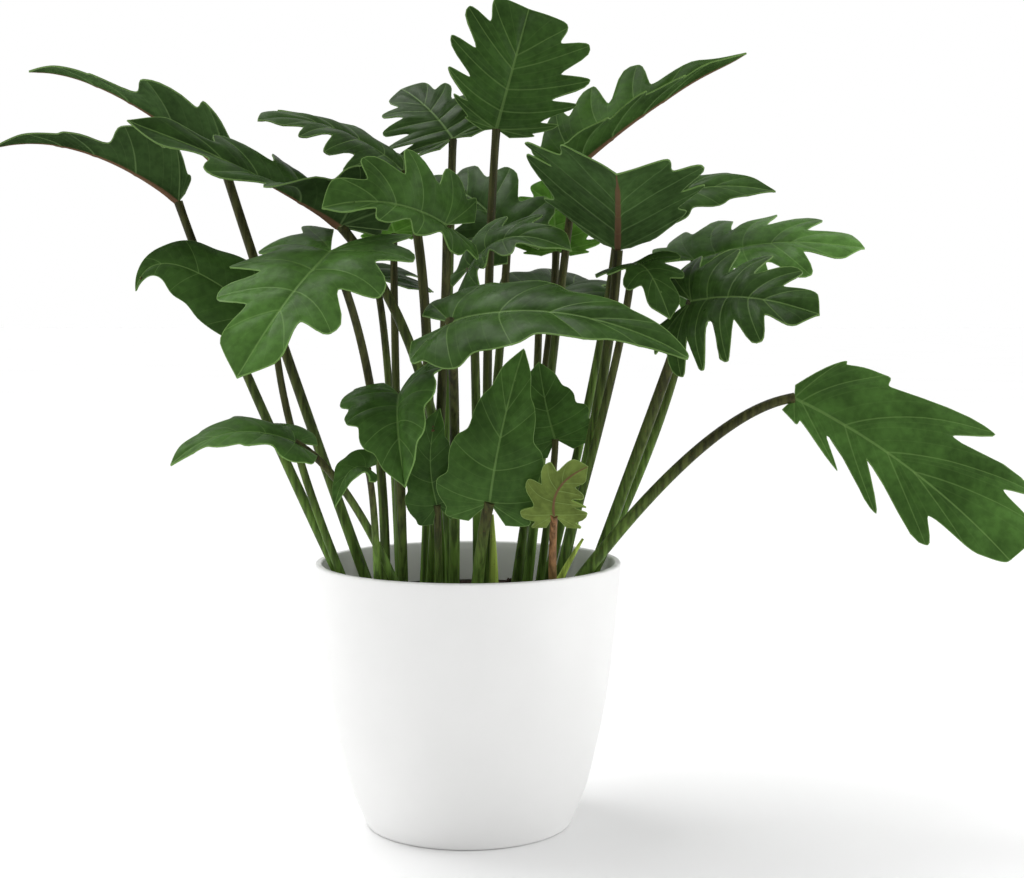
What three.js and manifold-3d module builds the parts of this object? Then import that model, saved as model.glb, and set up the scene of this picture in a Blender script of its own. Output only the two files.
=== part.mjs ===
// Potted xanadu philodendron: a white pot, its soil, and a clump of lobed leaves on long stalks.
// Millimetres, +Z up. The origin is the middle of the pot's flat underside, and the front is at -Y.
import * as THREE from 'three';
import Module from 'manifold-3d';
import { mergeVertices } from 'three/addons/utils/BufferGeometryUtils.js';

const wasm = await Module();
wasm.setup();

// Driving sizes
const POT_RADIUS = 92.5;
const POT_HEIGHT = 160;
const POT_BASE_RADIUS = 62.4;
const POT_WALL = 4;
const POT_FLOOR = 6;
const POT_SIDES = 48;
const SOIL_TOP = 135;
const SEAT_GAP = 0.3;
const ROOT_DEPTH = 16;
const BLADE_THICKNESS = 0.8;
const STALK_SIDES = 6;
const STALK_STEPS = 7;

// Outer radius of the pot at fractions of its height, from the base up
const POT_OUTLINE = [
  [0.12, 70.5],
  [0.3, 78.2],
  [0.5, 84.3],
  [0.75, 89.0],
];

// Leaf forms. lobes: lobes on each side of the midrib. cut: how deep each notch goes, from the base on, as
// a share of the vein. lean: how far each lobe's end leans towards the leaf's tip, as a share of its width.
// sweep: how far a vein bows back towards the base. ruffle: how far the edge waves up and down. feet: where
// the last vein leaves the midrib, as a share of its length.
// outline: the blade's edge without its notches, from the back of the base to the tip, as shares of the
// midrib's length and of the half width. outlineRight and cutsRight are given where the halves differ.
// tipPlaces: where the tip lobe gets a row of points, for a tail that curls.
const ARROW = [
  [-0.24, 0.3],
  [-0.22, 0.82],
  [0.06, 1],
  [0.34, 0.94],
  [0.6, 0.76],
  [0.86, 0.42],
  [1, 0],
];
const OPEN = [
  [-0.06, 0.3],
  [0.03, 0.8],
  [0.24, 1],
  [0.46, 0.98],
  [0.68, 0.8],
  [0.88, 0.5],
  [1, 0],
];
const FAN = [
  [-0.04, 0.2],
  [0.05, 0.62],
  [0.2, 0.84],
  [0.4, 1],
  [0.66, 1],
  [0.93, 0.7],
  [1, 0],
];
const OVAL = [
  [-0.18, 0.3],
  [-0.12, 0.86],
  [0.14, 1],
  [0.4, 0.86],
  [0.63, 0.62],
  [0.84, 0.34],
  [1, 0],
];
const LONG = [
  [-0.14, 0.34],
  [-0.1, 0.86],
  [0.12, 1],
  [0.38, 0.8],
  [0.63, 0.52],
  [0.85, 0.28],
  [1, 0],
];
const BROAD = [
  [-0.02, 0.14],
  [0.11, 0.72],
  [0.25, 0.76],
  [0.62, 1],
  [0.84, 0.8],
  [0.98, 0.5],
  [1, 0],
];
const BROAD_NEAR = [
  [-0.02, 0.3],
  [0.07, 0.45],
  [0.29, 0.77],
  [0.49, 1],
  [0.7, 0.95],
  [0.88, 0.42],
  [1, 0],
];
const SABRE = [
  [-0.1, 0.3],
  [-0.06, 0.75],
  [0.16, 1],
  [0.34, 1],
  [0.53, 0.95],
  [0.76, 0.36],
  [1, 0],
];
const SABRE_NEAR = [
  [-0.08, 0.3],
  [0.02, 0.8],
  [0.22, 1],
  [0.42, 0.9],
  [0.6, 0.7],
  [0.8, 0.4],
  [1, 0],
];
const HEART = [
  [-0.34, 0.3],
  [-0.36, 0.78],
  [-0.08, 1],
  [0.26, 0.98],
  [0.56, 0.8],
  [0.84, 0.44],
  [1, 0],
];
const RIBBON = [
  [0, 0.2],
  [0.04, 0.6],
  [0.18, 0.96],
  [0.38, 0.86],
  [0.58, 0.46],
  [0.82, 0.26],
  [1, 0],
];
const CUP = [
  [0, 0.16],
  [0.1, 0.5],
  [0.3, 0.84],
  [0.56, 1],
  [0.82, 0.98],
  [1, 0.62],
  [1, 0],
];
const TAIL = [
  [-0.1, 0.3],
  [-0.04, 0.85],
  [0.18, 1],
  [0.4, 0.86],
  [0.6, 0.54],
  [0.8, 0.22],
  [1, 0],
];
const FORMS = {
  broad: {
    outline: BROAD, cuts: [0.13, 0.2, 0.36, 0.25],
    outlineRight: BROAD_NEAR, cutsRight: [0.3, 0.6, 0.7, 0.35],
    lobes: 4, lean: 0.25, sweep: 0.1, ruffle: 2, feet: 0.7,
  },
  sabre: {
    outline: SABRE, cuts: [0.2, 0.3, 0.45, 0.5],
    outlineRight: SABRE_NEAR, cutsRight: [0.1, 0.14, 0.18, 0.2],
    lobes: 4, lean: 0.24, sweep: 0.1, ruffle: 3, feet: 0.7,
  },
  open: {
    outline: OPEN, cuts: [0.24, 0.36, 0.42, 0.42, 0.36],
    lobes: 5, lean: 0.2, sweep: 0.1, ruffle: 3, feet: 0.74,
  },
  fan: {
    outline: FAN, cuts: [0.2, 0.34, 0.38, 0.38, 0.34],
    lobes: 5, lean: 0.2, sweep: 0.06, ruffle: 3, feet: 0.7,
  },
  heart: {
    outline: HEART, cuts: [0.3, 0.36, 0.46, 0.44],
    lobes: 4, lean: 0.18, sweep: 0.1, ruffle: 3, feet: 0.76,
  },
  ribbon: {
    outline: RIBBON, cuts: [0.16, 0.3, 0.34, 0.24],
    lobes: 4, lean: 0.1, sweep: 0.04, ruffle: 4, feet: 0.8,
  },
  cup: {
    outline: CUP, cuts: [0.1, 0.2, 0.28, 0.24],
    lobes: 4, lean: 0.12, sweep: 0.04, ruffle: 6, feet: 0.7,
  },
  fingered: {
    outline: ARROW, cuts: [0.32, 0.44, 0.52, 0.52, 0.46],
    lobes: 5, lean: 0.2, sweep: 0.1, ruffle: 3, feet: 0.74,
  },
  lobed: {
    outline: ARROW, cuts: [0.28, 0.4, 0.44, 0.4],
    lobes: 4, lean: 0.18, sweep: 0.1, ruffle: 3, feet: 0.76,
  },
  wavy: {
    outline: OVAL, cuts: [0.1, 0.15, 0.15, 0.1],
    lobes: 4, lean: 0.1, sweep: 0.08, ruffle: 3, feet: 0.8,
  },
  frilled: {
    outline: OVAL, cuts: [0.26, 0.42, 0.44, 0.34],
    lobes: 4, lean: 0.12, sweep: 0.08, ruffle: 5, feet: 0.8,
  },
  long: {
    outline: LONG, cuts: [0.14, 0.15, 0.13, 0.08],
    lobes: 4, lean: 0.1, sweep: 0.08, ruffle: 3, feet: 0.8,
  },
  tailed: {
    outline: TAIL, cuts: [0.06, 0.08, 0.06], tipPlaces: [0, 0.2, 0.4, 0.6, 0.8, 1],
    lobes: 3, lean: 0, sweep: 0.04, ruffle: 1, feet: 0.9,
  },
  young: {
    outline: LONG, cuts: [0.06, 0.08, 0.08],
    lobes: 3, lean: 0, sweep: 0.08, ruffle: 1.5, feet: 0.8,
  },
};
const TIP_LOBE = 1.3;
const TIP_RISE = 0.45;
const TIP_PLACES = [0, 0.24, 0.48, 1];
const LOBE_ROUND = 2;
const CALM_BASE = 0.4;

// Colours of blades and stalks
const GREENS = {
  deep: 0x28501f,
  mid: 0x3a6a2c,
  fresh: 0x4f8a35,
  lime: 0x6b9a34,
};
const STALK_OLIVE = 0x4a4a2c;
const SHOOT_GREEN = 0x8fa548;

// Each leaf: root is where its stalk stands in the soil, knee bends the stalk, junction is the stalk's
// upper end under the blade. middle bends the midrib on its way to the tip. face points out of the upper
// side. half is the widest reach from the midrib, left and right. fold lifts the left and right half, in
// degrees, and droop bends each half back down towards its edge. stalk holds the radius at the soil and at
// the blade, and lift raises its end where a steeply folded blade would leave a gap.
const LEAVES = [
  {
    name: '01', form: 'ribbon', green: 'deep', stalk: [3.6, 2.4], lift: 0.75,
    root: [-60, -20], knee: [-139, -24, 286], junction: [-169, -20, 375],
    middle: [-222, -40, 418], tip: [-266, -60, 402], face: [-0.1, 0, 1],
    half: [32, 26], fold: [70, 45], foldTip: [24, 12], droop: [0, 30],
  },
  {
    name: '02', form: 'ribbon', green: 'deep', stalk: [3.8, 2.8], lift: 0.8,
    root: [-52, 2], knee: [-115, 10, 292], junction: [-148, 20, 397],
    middle: [-220, 25, 460], tip: [-267, 20, 457], face: [0.1, 0.05, 1],
    half: [36, 40], fold: [70, 40], foldTip: [10, 24], droop: [0, 40],
  },
  {
    name: '03', form: 'frilled', green: 'deep', stalk: [3.8, 2.8],
    root: [-10, -26], knee: [-3, -45, 278], junction: [-72, -40, 360],
    middle: [-119, -50, 393], tip: [-187, -70, 416], face: [0.1, 0, 0.95], faceTip: [0, -0.3, 0.9],
    half: [44, 42], fold: [80, 50], foldTip: [-14, 40], droop: [20, 50],
  },
  {
    name: '04', form: 'heart', green: 'mid', stalk: [3.4, 2.2],
    root: [-48, -36], knee: [-44, -36, 269], junction: [-74, -75, 343],
    middle: [-92, -115, 324], tip: [-118, -130, 275], face: [-0.3, -0.85, 0.4],
    half: [46, 54], fold: [8, 8], droop: [30, 30],
  },
  {
    name: '05', form: 'tailed', green: 'deep', stalk: [3, 2],
    root: [-58, -34], knee: [-108, -44, 236], junction: [-110, -44, 302],
    middle: [-180, -50, 362], tip: [-188, -52, 322], face: [-0.1, -0.8, 0.5],
    half: [24, 24], fold: [10, 10], droop: [40, 40],
  },
  {
    name: '06', form: 'wavy', green: 'mid', stalk: [3, 2],
    root: [-26, -58], knee: [-61, -70, 218], junction: [-94, -80, 238],
    middle: [-131, -90, 255], tip: [-160, -100, 227], face: [-0.1, -0.35, 0.9],
    half: [24, 24], fold: [12, 12], droop: [30, 30],
  },
  {
    name: '08', form: 'wavy', green: 'deep', stalk: [3.2, 2.2],
    root: [-37, -28], knee: [-38, -50, 240], junction: [-37, -70, 264],
    middle: [-38, -103, 254], tip: [-31, -108, 215], face: [0, -0.8, 0.6],
    half: [33, 33], fold: [55, 10], droop: [30, 30],
  },
  {
    name: '10', form: 'long', green: 'mid', stalk: [4.2, 3],
    root: [4, -56], knee: [8, -70, 182], junction: [14, -78, 204],
    middle: [19, -88, 245], tip: [33, -78, 290], face: [0, -0.95, 0.2],
    half: [31, 31], fold: [12, 12], droop: [30, 30],
  },
  {
    name: '12', form: 'wavy', green: 'deep', stalk: [3, 2],
    root: [40, 12], knee: [53, 10, 214], junction: [53, 10, 233],
    middle: [47, 10, 250], tip: [43, 25, 280], face: [0, -0.9, 0.3],
    half: [28, 28], fold: [10, 10], droop: [30, 30],
  },
  {
    name: '14', form: 'long', green: 'mid', stalk: [3.6, 2.6],
    root: [-8, -34], knee: [-5, -46, 272], junction: [-7, -105, 305],
    middle: [54, -130, 322], tip: [116, -160, 287], face: [0.1, -0.6, 0.8],
    half: [36, 40], fold: [14, 14], droop: [40, 40],
  },
  {
    name: '15', form: 'wavy', green: 'deep', stalk: [3.4, 2.4], lift: 0.7,
    root: [30, 60], knee: [44, 80, 260], junction: [44, 98, 306],
    middle: [60, 132, 342], tip: [92, 172, 326], face: [0, -0.2, 0.95],
    half: [44, 44], fold: [30, 20], droop: [40, 40],
  },
  {
    name: '16', form: 'lobed', green: 'mid', stalk: [3.6, 2.4],
    root: [-24, -10], knee: [-11, -40, 300], junction: [-10, -60, 359],
    middle: [-40, -88, 377], tip: [-76, -100, 366], face: [0.1, -0.6, 0.8],
    half: [24, 36], fold: [10, 45], droop: [40, 20],
  },
  {
    name: '17', form: 'lobed', green: 'mid', stalk: [3.4, 2.4],
    root: [6, -8], knee: [6, -20, 300], junction: [2, -30, 336],
    middle: [20, -42, 366], tip: [60, -66, 344], face: [-0.5, -0.3, 0.8], faceTip: [0.2, -0.5, 0.8],
    half: [28, 28], fold: [30, 10], droop: [40, 40],
  },
  {
    name: '18', form: 'frilled', green: 'deep', stalk: [3.4, 2.4],
    root: [4, 48], knee: [22, 52, 318], junction: [24, 58, 358],
    middle: [-6, 98, 405], tip: [-42, 150, 392], face: [0, -0.3, 0.95],
    half: [38, 38], fold: [12, 50], droop: [50, 50],
  },
  {
    name: '19', form: 'fan', green: 'deep', stalk: [3.6, 2.4],
    root: [12, 16], knee: [9, 15, 318], junction: [17, 15, 421],
    middle: [29, 10, 464], tip: [37, 25, 495], face: [0, -0.95, 0.2],
    half: [40, 46], fold: [25, 5], droop: [20, 20],
  },
  {
    name: '20', form: 'open', green: 'mid', stalk: [3.4, 2.4],
    root: [-18, 30], knee: [-12, 26, 349], junction: [-10, 32, 417],
    middle: [-24, 50, 440], tip: [-45, 82, 455], face: [0, -0.8, 0.5],
    half: [36, 36], fold: [8, 8], droop: [40, 40],
  },
  {
    name: '21', form: 'open', green: 'mid', stalk: [3.8, 2.8],
    root: [-28, 10], knee: [-17, 10, 318], junction: [-38, 8, 396],
    middle: [-82, -2, 431], tip: [-122, -22, 423], face: [0, -0.4, 0.9],
    half: [38, 38], fold: [10, 10], droop: [50, 50],
  },
  {
    name: '22', form: 'sabre', green: 'lime', stalk: [3.6, 2.4], lift: 0.85,
    root: [34, 42], knee: [56, 54, 318], junction: [67, 62, 403],
    middle: [116, 70, 448], tip: [177, 80, 477], face: [-0.5, 0.2, 0.9],
    half: [50, 24], fold: [66, 50], foldTip: [58, 14], droop: [10, 20],
  },
  {
    name: '23', form: 'cup', green: 'deep', stalk: [4, 2.8], lift: 1.1,
    root: [48, 2], knee: [86, -10, 270], junction: [89, -15, 347],
    middle: [88, -42, 376], tip: [84, -84, 386], face: [0, 0.6, 0.8], faceTip: [0, 0.35, 0.95],
    half: [50, 60], fold: [14, 34], droop: [10, 10],
  },
  {
    name: '24', form: 'open', green: 'lime', stalk: [3.4, 2.4],
    root: [26, 46], knee: [54, 74, 299], junction: [55, 80, 350],
    middle: [55, 92, 380], tip: [50, 108, 399], face: [0, -0.9, 0.4],
    half: [32, 32], fold: [12, 12], droop: [40, 40],
  },
  {
    name: '25', form: 'fingered', green: 'mid', stalk: [3.4, 2.4],
    root: [60, 10], knee: [135, 20, 257], junction: [138, 18, 342],
    middle: [184, 8, 360], tip: [237, -5, 348], face: [0, -0.5, 0.85],
    half: [58, 54], fold: [5, 10], droop: [30, 60],
  },
  {
    name: '26', form: 'fingered', green: 'mid', stalk: [4, 3],
    root: [62, -14], knee: [117, -40, 276], junction: [128, -60, 316],
    middle: [158, -78, 324], tip: [194, -95, 308], face: [0, -0.7, 0.7],
    half: [46, 50], fold: [10, 10], droop: [30, 50],
  },
  {
    name: '28', form: 'broad', green: 'deep', stalk: [4.4, 2.8],
    root: [40, -40], knee: [134, -48, 254], junction: [189, -46, 261],
    middle: [254, -65, 229], tip: [304, -84, 172], face: [-0.1, -0.92, 0.35],
    half: [52, 32], fold: [4, 4], droop: [30, 30],
  },
  {
    name: '29', form: 'wavy', green: 'mid', stalk: [3.4, 2.4],
    root: [42, 26], knee: [86, 26, 290], junction: [92, 24, 372],
    middle: [140, 20, 394], tip: [186, 10, 384], face: [0, -0.6, 0.8],
    half: [30, 30], fold: [10, 10], droop: [40, 40],
  },
  {
    name: '30', form: 'open', green: 'lime', stalk: [3, 2.2],
    root: [-42, 20], knee: [-47, 26, 330], junction: [-46, 26, 359],
    middle: [-56, 45, 393], tip: [-85, 120, 390], face: [0, -0.3, 0.95],
    half: [32, 32], fold: [12, 12], droop: [30, 30],
  },
  {
    name: '31', form: 'fingered', green: 'deep', stalk: [3, 2.2],
    root: [-44, 44], knee: [-51, 55, 305], junction: [-62, 70, 335],
    middle: [-84, 112, 352], tip: [-116, 170, 332], face: [0, 0.1, 0.95],
    half: [46, 42], fold: [12, 12], droop: [40, 40],
  },
];

const YOUNG_LEAVES = [
  {
    name: 'young_leaf_1', form: 'young', green: 'mid', stalk: [2.6, 1.8],
    root: [-50, -56], knee: [-49, -80, 206], junction: [-53, -88, 224],
    middle: [-65, -95, 230], tip: [-70, -105, 204], face: [-0.2, -0.7, 0.7],
    half: [12, 12], fold: [20, 20], droop: [20, 20],
  },
  {
    name: 'young_leaf_2', form: 'lobed', green: 'lime', stalk: [3, 2],
    root: [50, -58], knee: [49, -64, 178], junction: [50, -86, 198],
    middle: [47, -97, 217], tip: [68, -100, 226], face: [0.2, 0.9, 0.2],
    half: [19, 19], fold: [10, 10], droop: [20, 20],
  },
  {
    name: 'young_leaf_3', form: 'wavy', green: 'deep', stalk: [2.8, 2],
    root: [-16, -54], knee: [-15, -60, 178], junction: [-16, -66, 201],
    middle: [-24, -70, 231], tip: [-14, -70, 256], face: [0, -0.9, 0.3],
    half: [17, 17], fold: [10, 10], droop: [20, 20],
  },
  {
    name: 'young_leaf_4', form: 'lobed', green: 'deep', stalk: [3, 2.2],
    root: [44, -24], knee: [95, -25, 294], junction: [96, -32, 338],
    middle: [104, -60, 342], tip: [114, -80, 306], face: [0, -0.7, 0.7],
    half: [24, 24], fold: [10, 10], droop: [20, 20],
  },
];

// Shoots without a blade: a rolled new leaf and the pointed sheath that it came out of
const SHOOTS = [
  {
    name: 'new_leaf_spear', stalk: [3.6, 0.8],
    root: [16, -34], knee: [16, -34, 150], junction: [15, -35, 192],
  },
  { name: 'leaf_sheath', stalk: [3, 0.7], root: [40, -54], knee: [48, -56, 150], junction: [67, -60, 181] },
];

const degrees = (angle) => (angle * Math.PI) / 180;
const lerp = THREE.MathUtils.lerp;
const vec = (point) => new THREE.Vector3(...point);

const group = new THREE.Group();

function addMesh(name, geometry, colour, roughness) {
  const material = new THREE.MeshStandardMaterial({ color: colour, roughness, metalness: 0 });
  const mesh = new THREE.Mesh(geometry, material);
  mesh.name = name;
  group.add(mesh);
}

// Collects triangles over shared points, and leaves out those that have lost an edge
class Shell {
  constructor() {
    this.points = [];
    this.index = new Map();
    this.triangles = [];
  }

  point(p) {
    const key = `${p.x.toFixed(3)},${p.y.toFixed(3)},${p.z.toFixed(3)}`;
    if (!this.index.has(key)) {
      this.index.set(key, this.points.length);
      this.points.push(p.clone());
    }
    return this.index.get(key);
  }

  triangle(a, b, c) {
    if (a !== b && b !== c && c !== a) {
      this.triangles.push([a, b, c]);
    }
  }

  quad(a, b, c, d) {
    this.triangle(a, b, c);
    this.triangle(a, c, d);
  }

  geometry() {
    const geometry = new THREE.BufferGeometry();
    const flat = this.points.flatMap((p) => [p.x, p.y, p.z]);
    geometry.setAttribute('position', new THREE.Float32BufferAttribute(flat, 3));
    geometry.setIndex(this.triangles.flat());
    return geometry;
  }
}

function toManifold(geometry) {
  const bare = new THREE.BufferGeometry();
  bare.setAttribute('position', geometry.getAttribute('position'));
  bare.setIndex(geometry.getIndex());
  const merged = mergeVertices(bare, 1e-4);
  return new wasm.Manifold(new wasm.Mesh({
    numProp: 3,
    vertProperties: new Float32Array(merged.getAttribute('position').array),
    triVerts: new Uint32Array(merged.getIndex().array),
  }));
}

function fromManifold(solid) {
  const mesh = solid.getMesh();
  const geometry = new THREE.BufferGeometry();
  geometry.setAttribute('position', new THREE.BufferAttribute(mesh.vertProperties, 3));
  geometry.setIndex(new THREE.BufferAttribute(mesh.triVerts, 1));
  return geometry;
}

// Pot

function outerRadius(z) {
  const stations = [[0, POT_BASE_RADIUS], ...POT_OUTLINE, [1, POT_RADIUS]];
  const height = z / POT_HEIGHT;
  const upper = stations.findIndex(([at]) => at >= height && at > 0);
  const [z0, r0] = stations[upper - 1];
  const [z1, r1] = stations[upper];
  return lerp(r0, r1, (height - z0) / (z1 - z0));
}

const innerRadius = (z) => outerRadius(z) - POT_WALL;

// A profile turned about the pot's axis, made upright
function turned(profile) {
  const points = profile.map(([r, z]) => new THREE.Vector2(r, z));
  const geometry = new THREE.LatheGeometry(points, POT_SIDES);
  geometry.rotateX(Math.PI / 2);
  return geometry;
}

function potGeometry() {
  const heights = POT_OUTLINE.map(([at]) => at * POT_HEIGHT);
  const rimRound = 1.2;
  const footRound = 2.5;
  const outside = heights.map((z) => [outerRadius(z), z]);
  const inside = heights.map((z) => [innerRadius(z), z]).reverse();
  return turned([
    [0, 0],
    [POT_BASE_RADIUS - footRound, 0],
    [POT_BASE_RADIUS, footRound],
    ...outside,
    [POT_RADIUS, POT_HEIGHT - rimRound],
    [POT_RADIUS - rimRound, POT_HEIGHT],
    [POT_RADIUS - POT_WALL + rimRound, POT_HEIGHT],
    [POT_RADIUS - POT_WALL, POT_HEIGHT - rimRound],
    ...inside,
    [innerRadius(POT_FLOOR), POT_FLOOR],
    [0, POT_FLOOR],
  ]);
}

// Stalks

// Evenly spaced points on the bent line from a to c, with directions along it
function bentLine(a, b, c, steps) {
  const curve = new THREE.QuadraticBezierCurve3(a, b, c);
  const stations = [];
  for (let i = 0; i <= steps; i += 1) {
    const at = i / steps;
    stations.push({ at, point: curve.getPoint(at), along: curve.getTangent(at) });
  }
  return stations;
}

// A round rod with a radius at each station, closed at both ends
function rod(stations, radiusAt) {
  const shell = new Shell();
  let side = new THREE.Vector3(1, 0, 0);
  const rings = stations.map(({ at, point, along }) => {
    side = side.clone().addScaledVector(along, -side.dot(along)).normalize();
    const other = along.clone().cross(side);
    const radius = radiusAt(at);
    const ring = [];
    for (let k = 0; k < STALK_SIDES; k += 1) {
      const angle = (k / STALK_SIDES) * 2 * Math.PI;
      const p = point.clone();
      p.addScaledVector(side, radius * Math.cos(angle));
      p.addScaledVector(other, radius * Math.sin(angle));
      ring.push(shell.point(p));
    }
    return ring;
  });
  for (let i = 0; i + 1 < rings.length; i += 1) {
    for (let k = 0; k < STALK_SIDES; k += 1) {
      const next = (k + 1) % STALK_SIDES;
      shell.quad(rings[i][k], rings[i][next], rings[i + 1][next], rings[i + 1][k]);
    }
  }
  const last = rings[rings.length - 1];
  for (let k = 1; k + 1 < STALK_SIDES; k += 1) {
    shell.triangle(rings[0][0], rings[0][k + 1], rings[0][k]);
    shell.triangle(last[0], last[k], last[k + 1]);
  }
  return shell.geometry();
}

// A shoot without a blade: a round rod that runs out to a thin tip
const shootRadius = (shoot) => (at) => lerp(shoot.stalk[0], shoot.stalk[1], at ** 2);

// Where a stalk ends so that its end disc stays just under the blade
function stalkEnd(leaf, frame) {
  const junction = vec(leaf.junction);
  const arrival = junction.clone().sub(vec(leaf.knee)).normalize();
  const tilt = Math.sqrt(Math.max(0, 1 - arrival.dot(frame.up) ** 2));
  const drop = BLADE_THICKNESS + SEAT_GAP + leaf.stalk[1] * tilt - (leaf.lift ?? 0);
  return junction.addScaledVector(frame.up, -drop);
}

function stalkStations(leaf, end) {
  const root = vec([...leaf.root, SOIL_TOP - ROOT_DEPTH]);
  return bentLine(root, vec(leaf.knee), end, STALK_STEPS);
}

const stalkRadius = (leaf) => (at) => lerp(leaf.stalk[0], leaf.stalk[1], Math.sqrt(at));

// The hole that a stalk stands in: its lowest stretch, a little wider and deeper
function rootHole(stations, radiusAt) {
  const above = stations.findIndex(({ point }) => point.z > SOIL_TOP + 2);
  const [first, ...rest] = stations.slice(0, above + 1);
  const deeper = first.point.clone().addScaledVector(first.along, -SEAT_GAP);
  const wider = SEAT_GAP / Math.cos(Math.PI / STALK_SIDES);
  return rod([{ ...first, point: deeper }, ...rest], (at) => radiusAt(at) + wider);
}

// Blades

// Direction along the midrib, to the left and out of the upper side, at a share of its length
function midribFrame(leaf, at) {
  const curve = new THREE.QuadraticBezierCurve3(vec(leaf.junction), vec(leaf.middle), vec(leaf.tip));
  const origin = curve.getPoint(at);
  const along = curve.getTangent(at);
  const hint = vec(leaf.face);
  if (leaf.faceTip) {
    hint.lerp(vec(leaf.faceTip), at);
  }
  const up = hint.addScaledVector(along, -hint.dot(along)).normalize();
  const left = up.clone().cross(along);
  return { origin, along, left, up };
}

const midribLength = (leaf) => {
  const curve = new THREE.QuadraticBezierCurve3(vec(leaf.junction), vec(leaf.middle), vec(leaf.tip));
  return curve.getLength();
};

// Depth of a notch, from 0 at the pointed end of the lobe beside it to 1 at its rounded bottom
const notchDepth = (away) => Math.sin(0.5 * Math.PI * Math.min(away, 1)) ** LOBE_ROUND;

// Share of a vein that is left by the notches, at a place q on the edge, from the base (0) to the tip (1)
function lobeShare(form, side, q) {
  const cuts = side < 0 && form.cutsRight ? form.cutsRight : form.cuts;
  const phase = q * (form.lobes + TIP_LOBE);
  if (phase >= form.lobes) {
    const away = Math.max(0, 1 - (phase - form.lobes) / TIP_LOBE / TIP_RISE);
    return 1 - cuts[form.lobes - 1] * 0.5 * (1 - Math.cos(Math.PI * away));
  }
  const lobe = Math.floor(phase);
  const offset = phase - lobe - 0.5 - form.lean;
  if (offset > 0) {
    return 1 - cuts[lobe] * notchDepth(offset / (0.5 - form.lean));
  }
  return lobe === 0 ? 1 : 1 - cuts[lobe - 1] * notchDepth(-offset / (0.5 + form.lean));
}

// Rises from 0 at the base of the edge, where the veins crowd together, to 1
const pastBase = (q) => Math.min(q / CALM_BASE, 1) ** 2;

// Place on the flat blade, along the midrib and out from it: a share t of the vein that ends at q
function flatPoint(leaf, form, length, side, q, t) {
  const fan = 0.3;
  const foot = form.feet * length * Math.max(0, (q - fan) / (1 - fan));
  const outline = side < 0 && form.outlineRight ? form.outlineRight : form.outline;
  const half = leaf.half[side > 0 ? 0 : 1];
  const corners = outline.map(([along, out]) => new THREE.Vector2(along * length, out * half));
  const end = new THREE.SplineCurve(corners).getPoint(q);
  const share = lobeShare(form, side, q) * t;
  const bow = form.sweep * 4 * share * (1 - t) * end.y * pastBase(q);
  return { along: lerp(foot, end.x, share) - bow, out: end.y * share };
}

// Place on the folded, bent blade. side is 1 for the left half and -1 for the right one.
function bladePoint(leaf, form, length, side, q, t) {
  const flat = flatPoint(leaf, form, length, side, q, t);
  const at = THREE.MathUtils.clamp(flat.along / length, 0, 1);
  const frame = midribFrame(leaf, at);
  const half = side > 0 ? 0 : 1;
  const fold = lerp((leaf.foldTip ?? leaf.fold)[half], leaf.fold[half], (1 - at) ** 3);
  const lift = fold - leaf.droop[half] * 0.5 * (flat.out / leaf.half[half]);
  const phase = q * (form.lobes + TIP_LOBE) * Math.PI;
  const ruffle = form.ruffle * t * t * Math.sin(phase + side) * pastBase(q) * (1 - q);
  const point = frame.origin.clone();
  point.addScaledVector(frame.along, flat.along - at * length);
  point.addScaledVector(frame.left, side * flat.out * Math.cos(degrees(lift)));
  point.addScaledVector(frame.up, flat.out * Math.sin(degrees(lift)) + ruffle);
  return point;
}

// Places on the edge that get a row of points: every notch, every lobe's end and the middle between them
function edgePlaces(form) {
  const end = 0.5 + form.lean;
  const phases = [];
  for (let lobe = 0; lobe < form.lobes; lobe += 1) {
    phases.push(lobe, lobe + end / 2, lobe + end, lobe + (end + 1) / 2);
  }
  (form.tipPlaces ?? TIP_PLACES).forEach((place) => phases.push(form.lobes + TIP_LOBE * place));
  return phases.map((phase) => phase / (form.lobes + TIP_LOBE));
}

function bladeGeometry(leaf) {
  const form = FORMS[leaf.form];
  const length = midribLength(leaf);
  const places = edgePlaces(form);
  const columns = places.length - 1;
  const rows = [0, 0.5, 1];
  const top = new Shell();
  const sides = [1, -1].map((side) => (
    places.map((q) => rows.map((t) => top.point(bladePoint(leaf, form, length, side, q, t))))
  ));
  // Upper face, with its left half's order turned round
  sides.forEach((grid, right) => {
    for (let i = 0; i < columns; i += 1) {
      for (let j = 0; j + 1 < rows.length; j += 1) {
        const corners = [grid[i][j], grid[i][j + 1], grid[i + 1][j + 1], grid[i + 1][j]];
        if (right === 0) {
          corners.reverse();
        }
        top.quad(...corners);
      }
    }
  });
  return thickened(top, BLADE_THICKNESS);
}

// A sheet given a thickness on its lower side, along the mean normal at each point
function thickened(sheet, thickness) {
  const normals = sheet.points.map(() => new THREE.Vector3());
  const face = new THREE.Triangle();
  const normal = new THREE.Vector3();
  const edges = new Map();
  sheet.triangles.forEach((corners) => {
    face.set(...corners.map((i) => sheet.points[i]));
    face.getNormal(normal);
    const area = face.getArea();
    corners.forEach((corner, k) => {
      normals[corner].addScaledVector(normal, area);
      const next = corners[(k + 1) % 3];
      edges.set(`${corner},${next}`, [corner, next]);
    });
  });
  const shell = new Shell();
  const upper = sheet.points.map((p) => shell.point(p));
  const lower = sheet.points.map((p, i) => (
    shell.point(p.clone().addScaledVector(normals[i].normalize(), -thickness))
  ));
  sheet.triangles.forEach(([a, b, c]) => {
    shell.triangle(upper[a], upper[b], upper[c]);
    shell.triangle(lower[a], lower[c], lower[b]);
  });
  edges.forEach(([a, b]) => {
    if (!edges.has(`${b},${a}`)) {
      shell.quad(upper[b], upper[a], lower[a], lower[b]);
    }
  });
  return shell.geometry();
}

// The whole object

addMesh('pot', potGeometry(), 0xf2f2f0, 0.45);

let holes = null;

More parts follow.
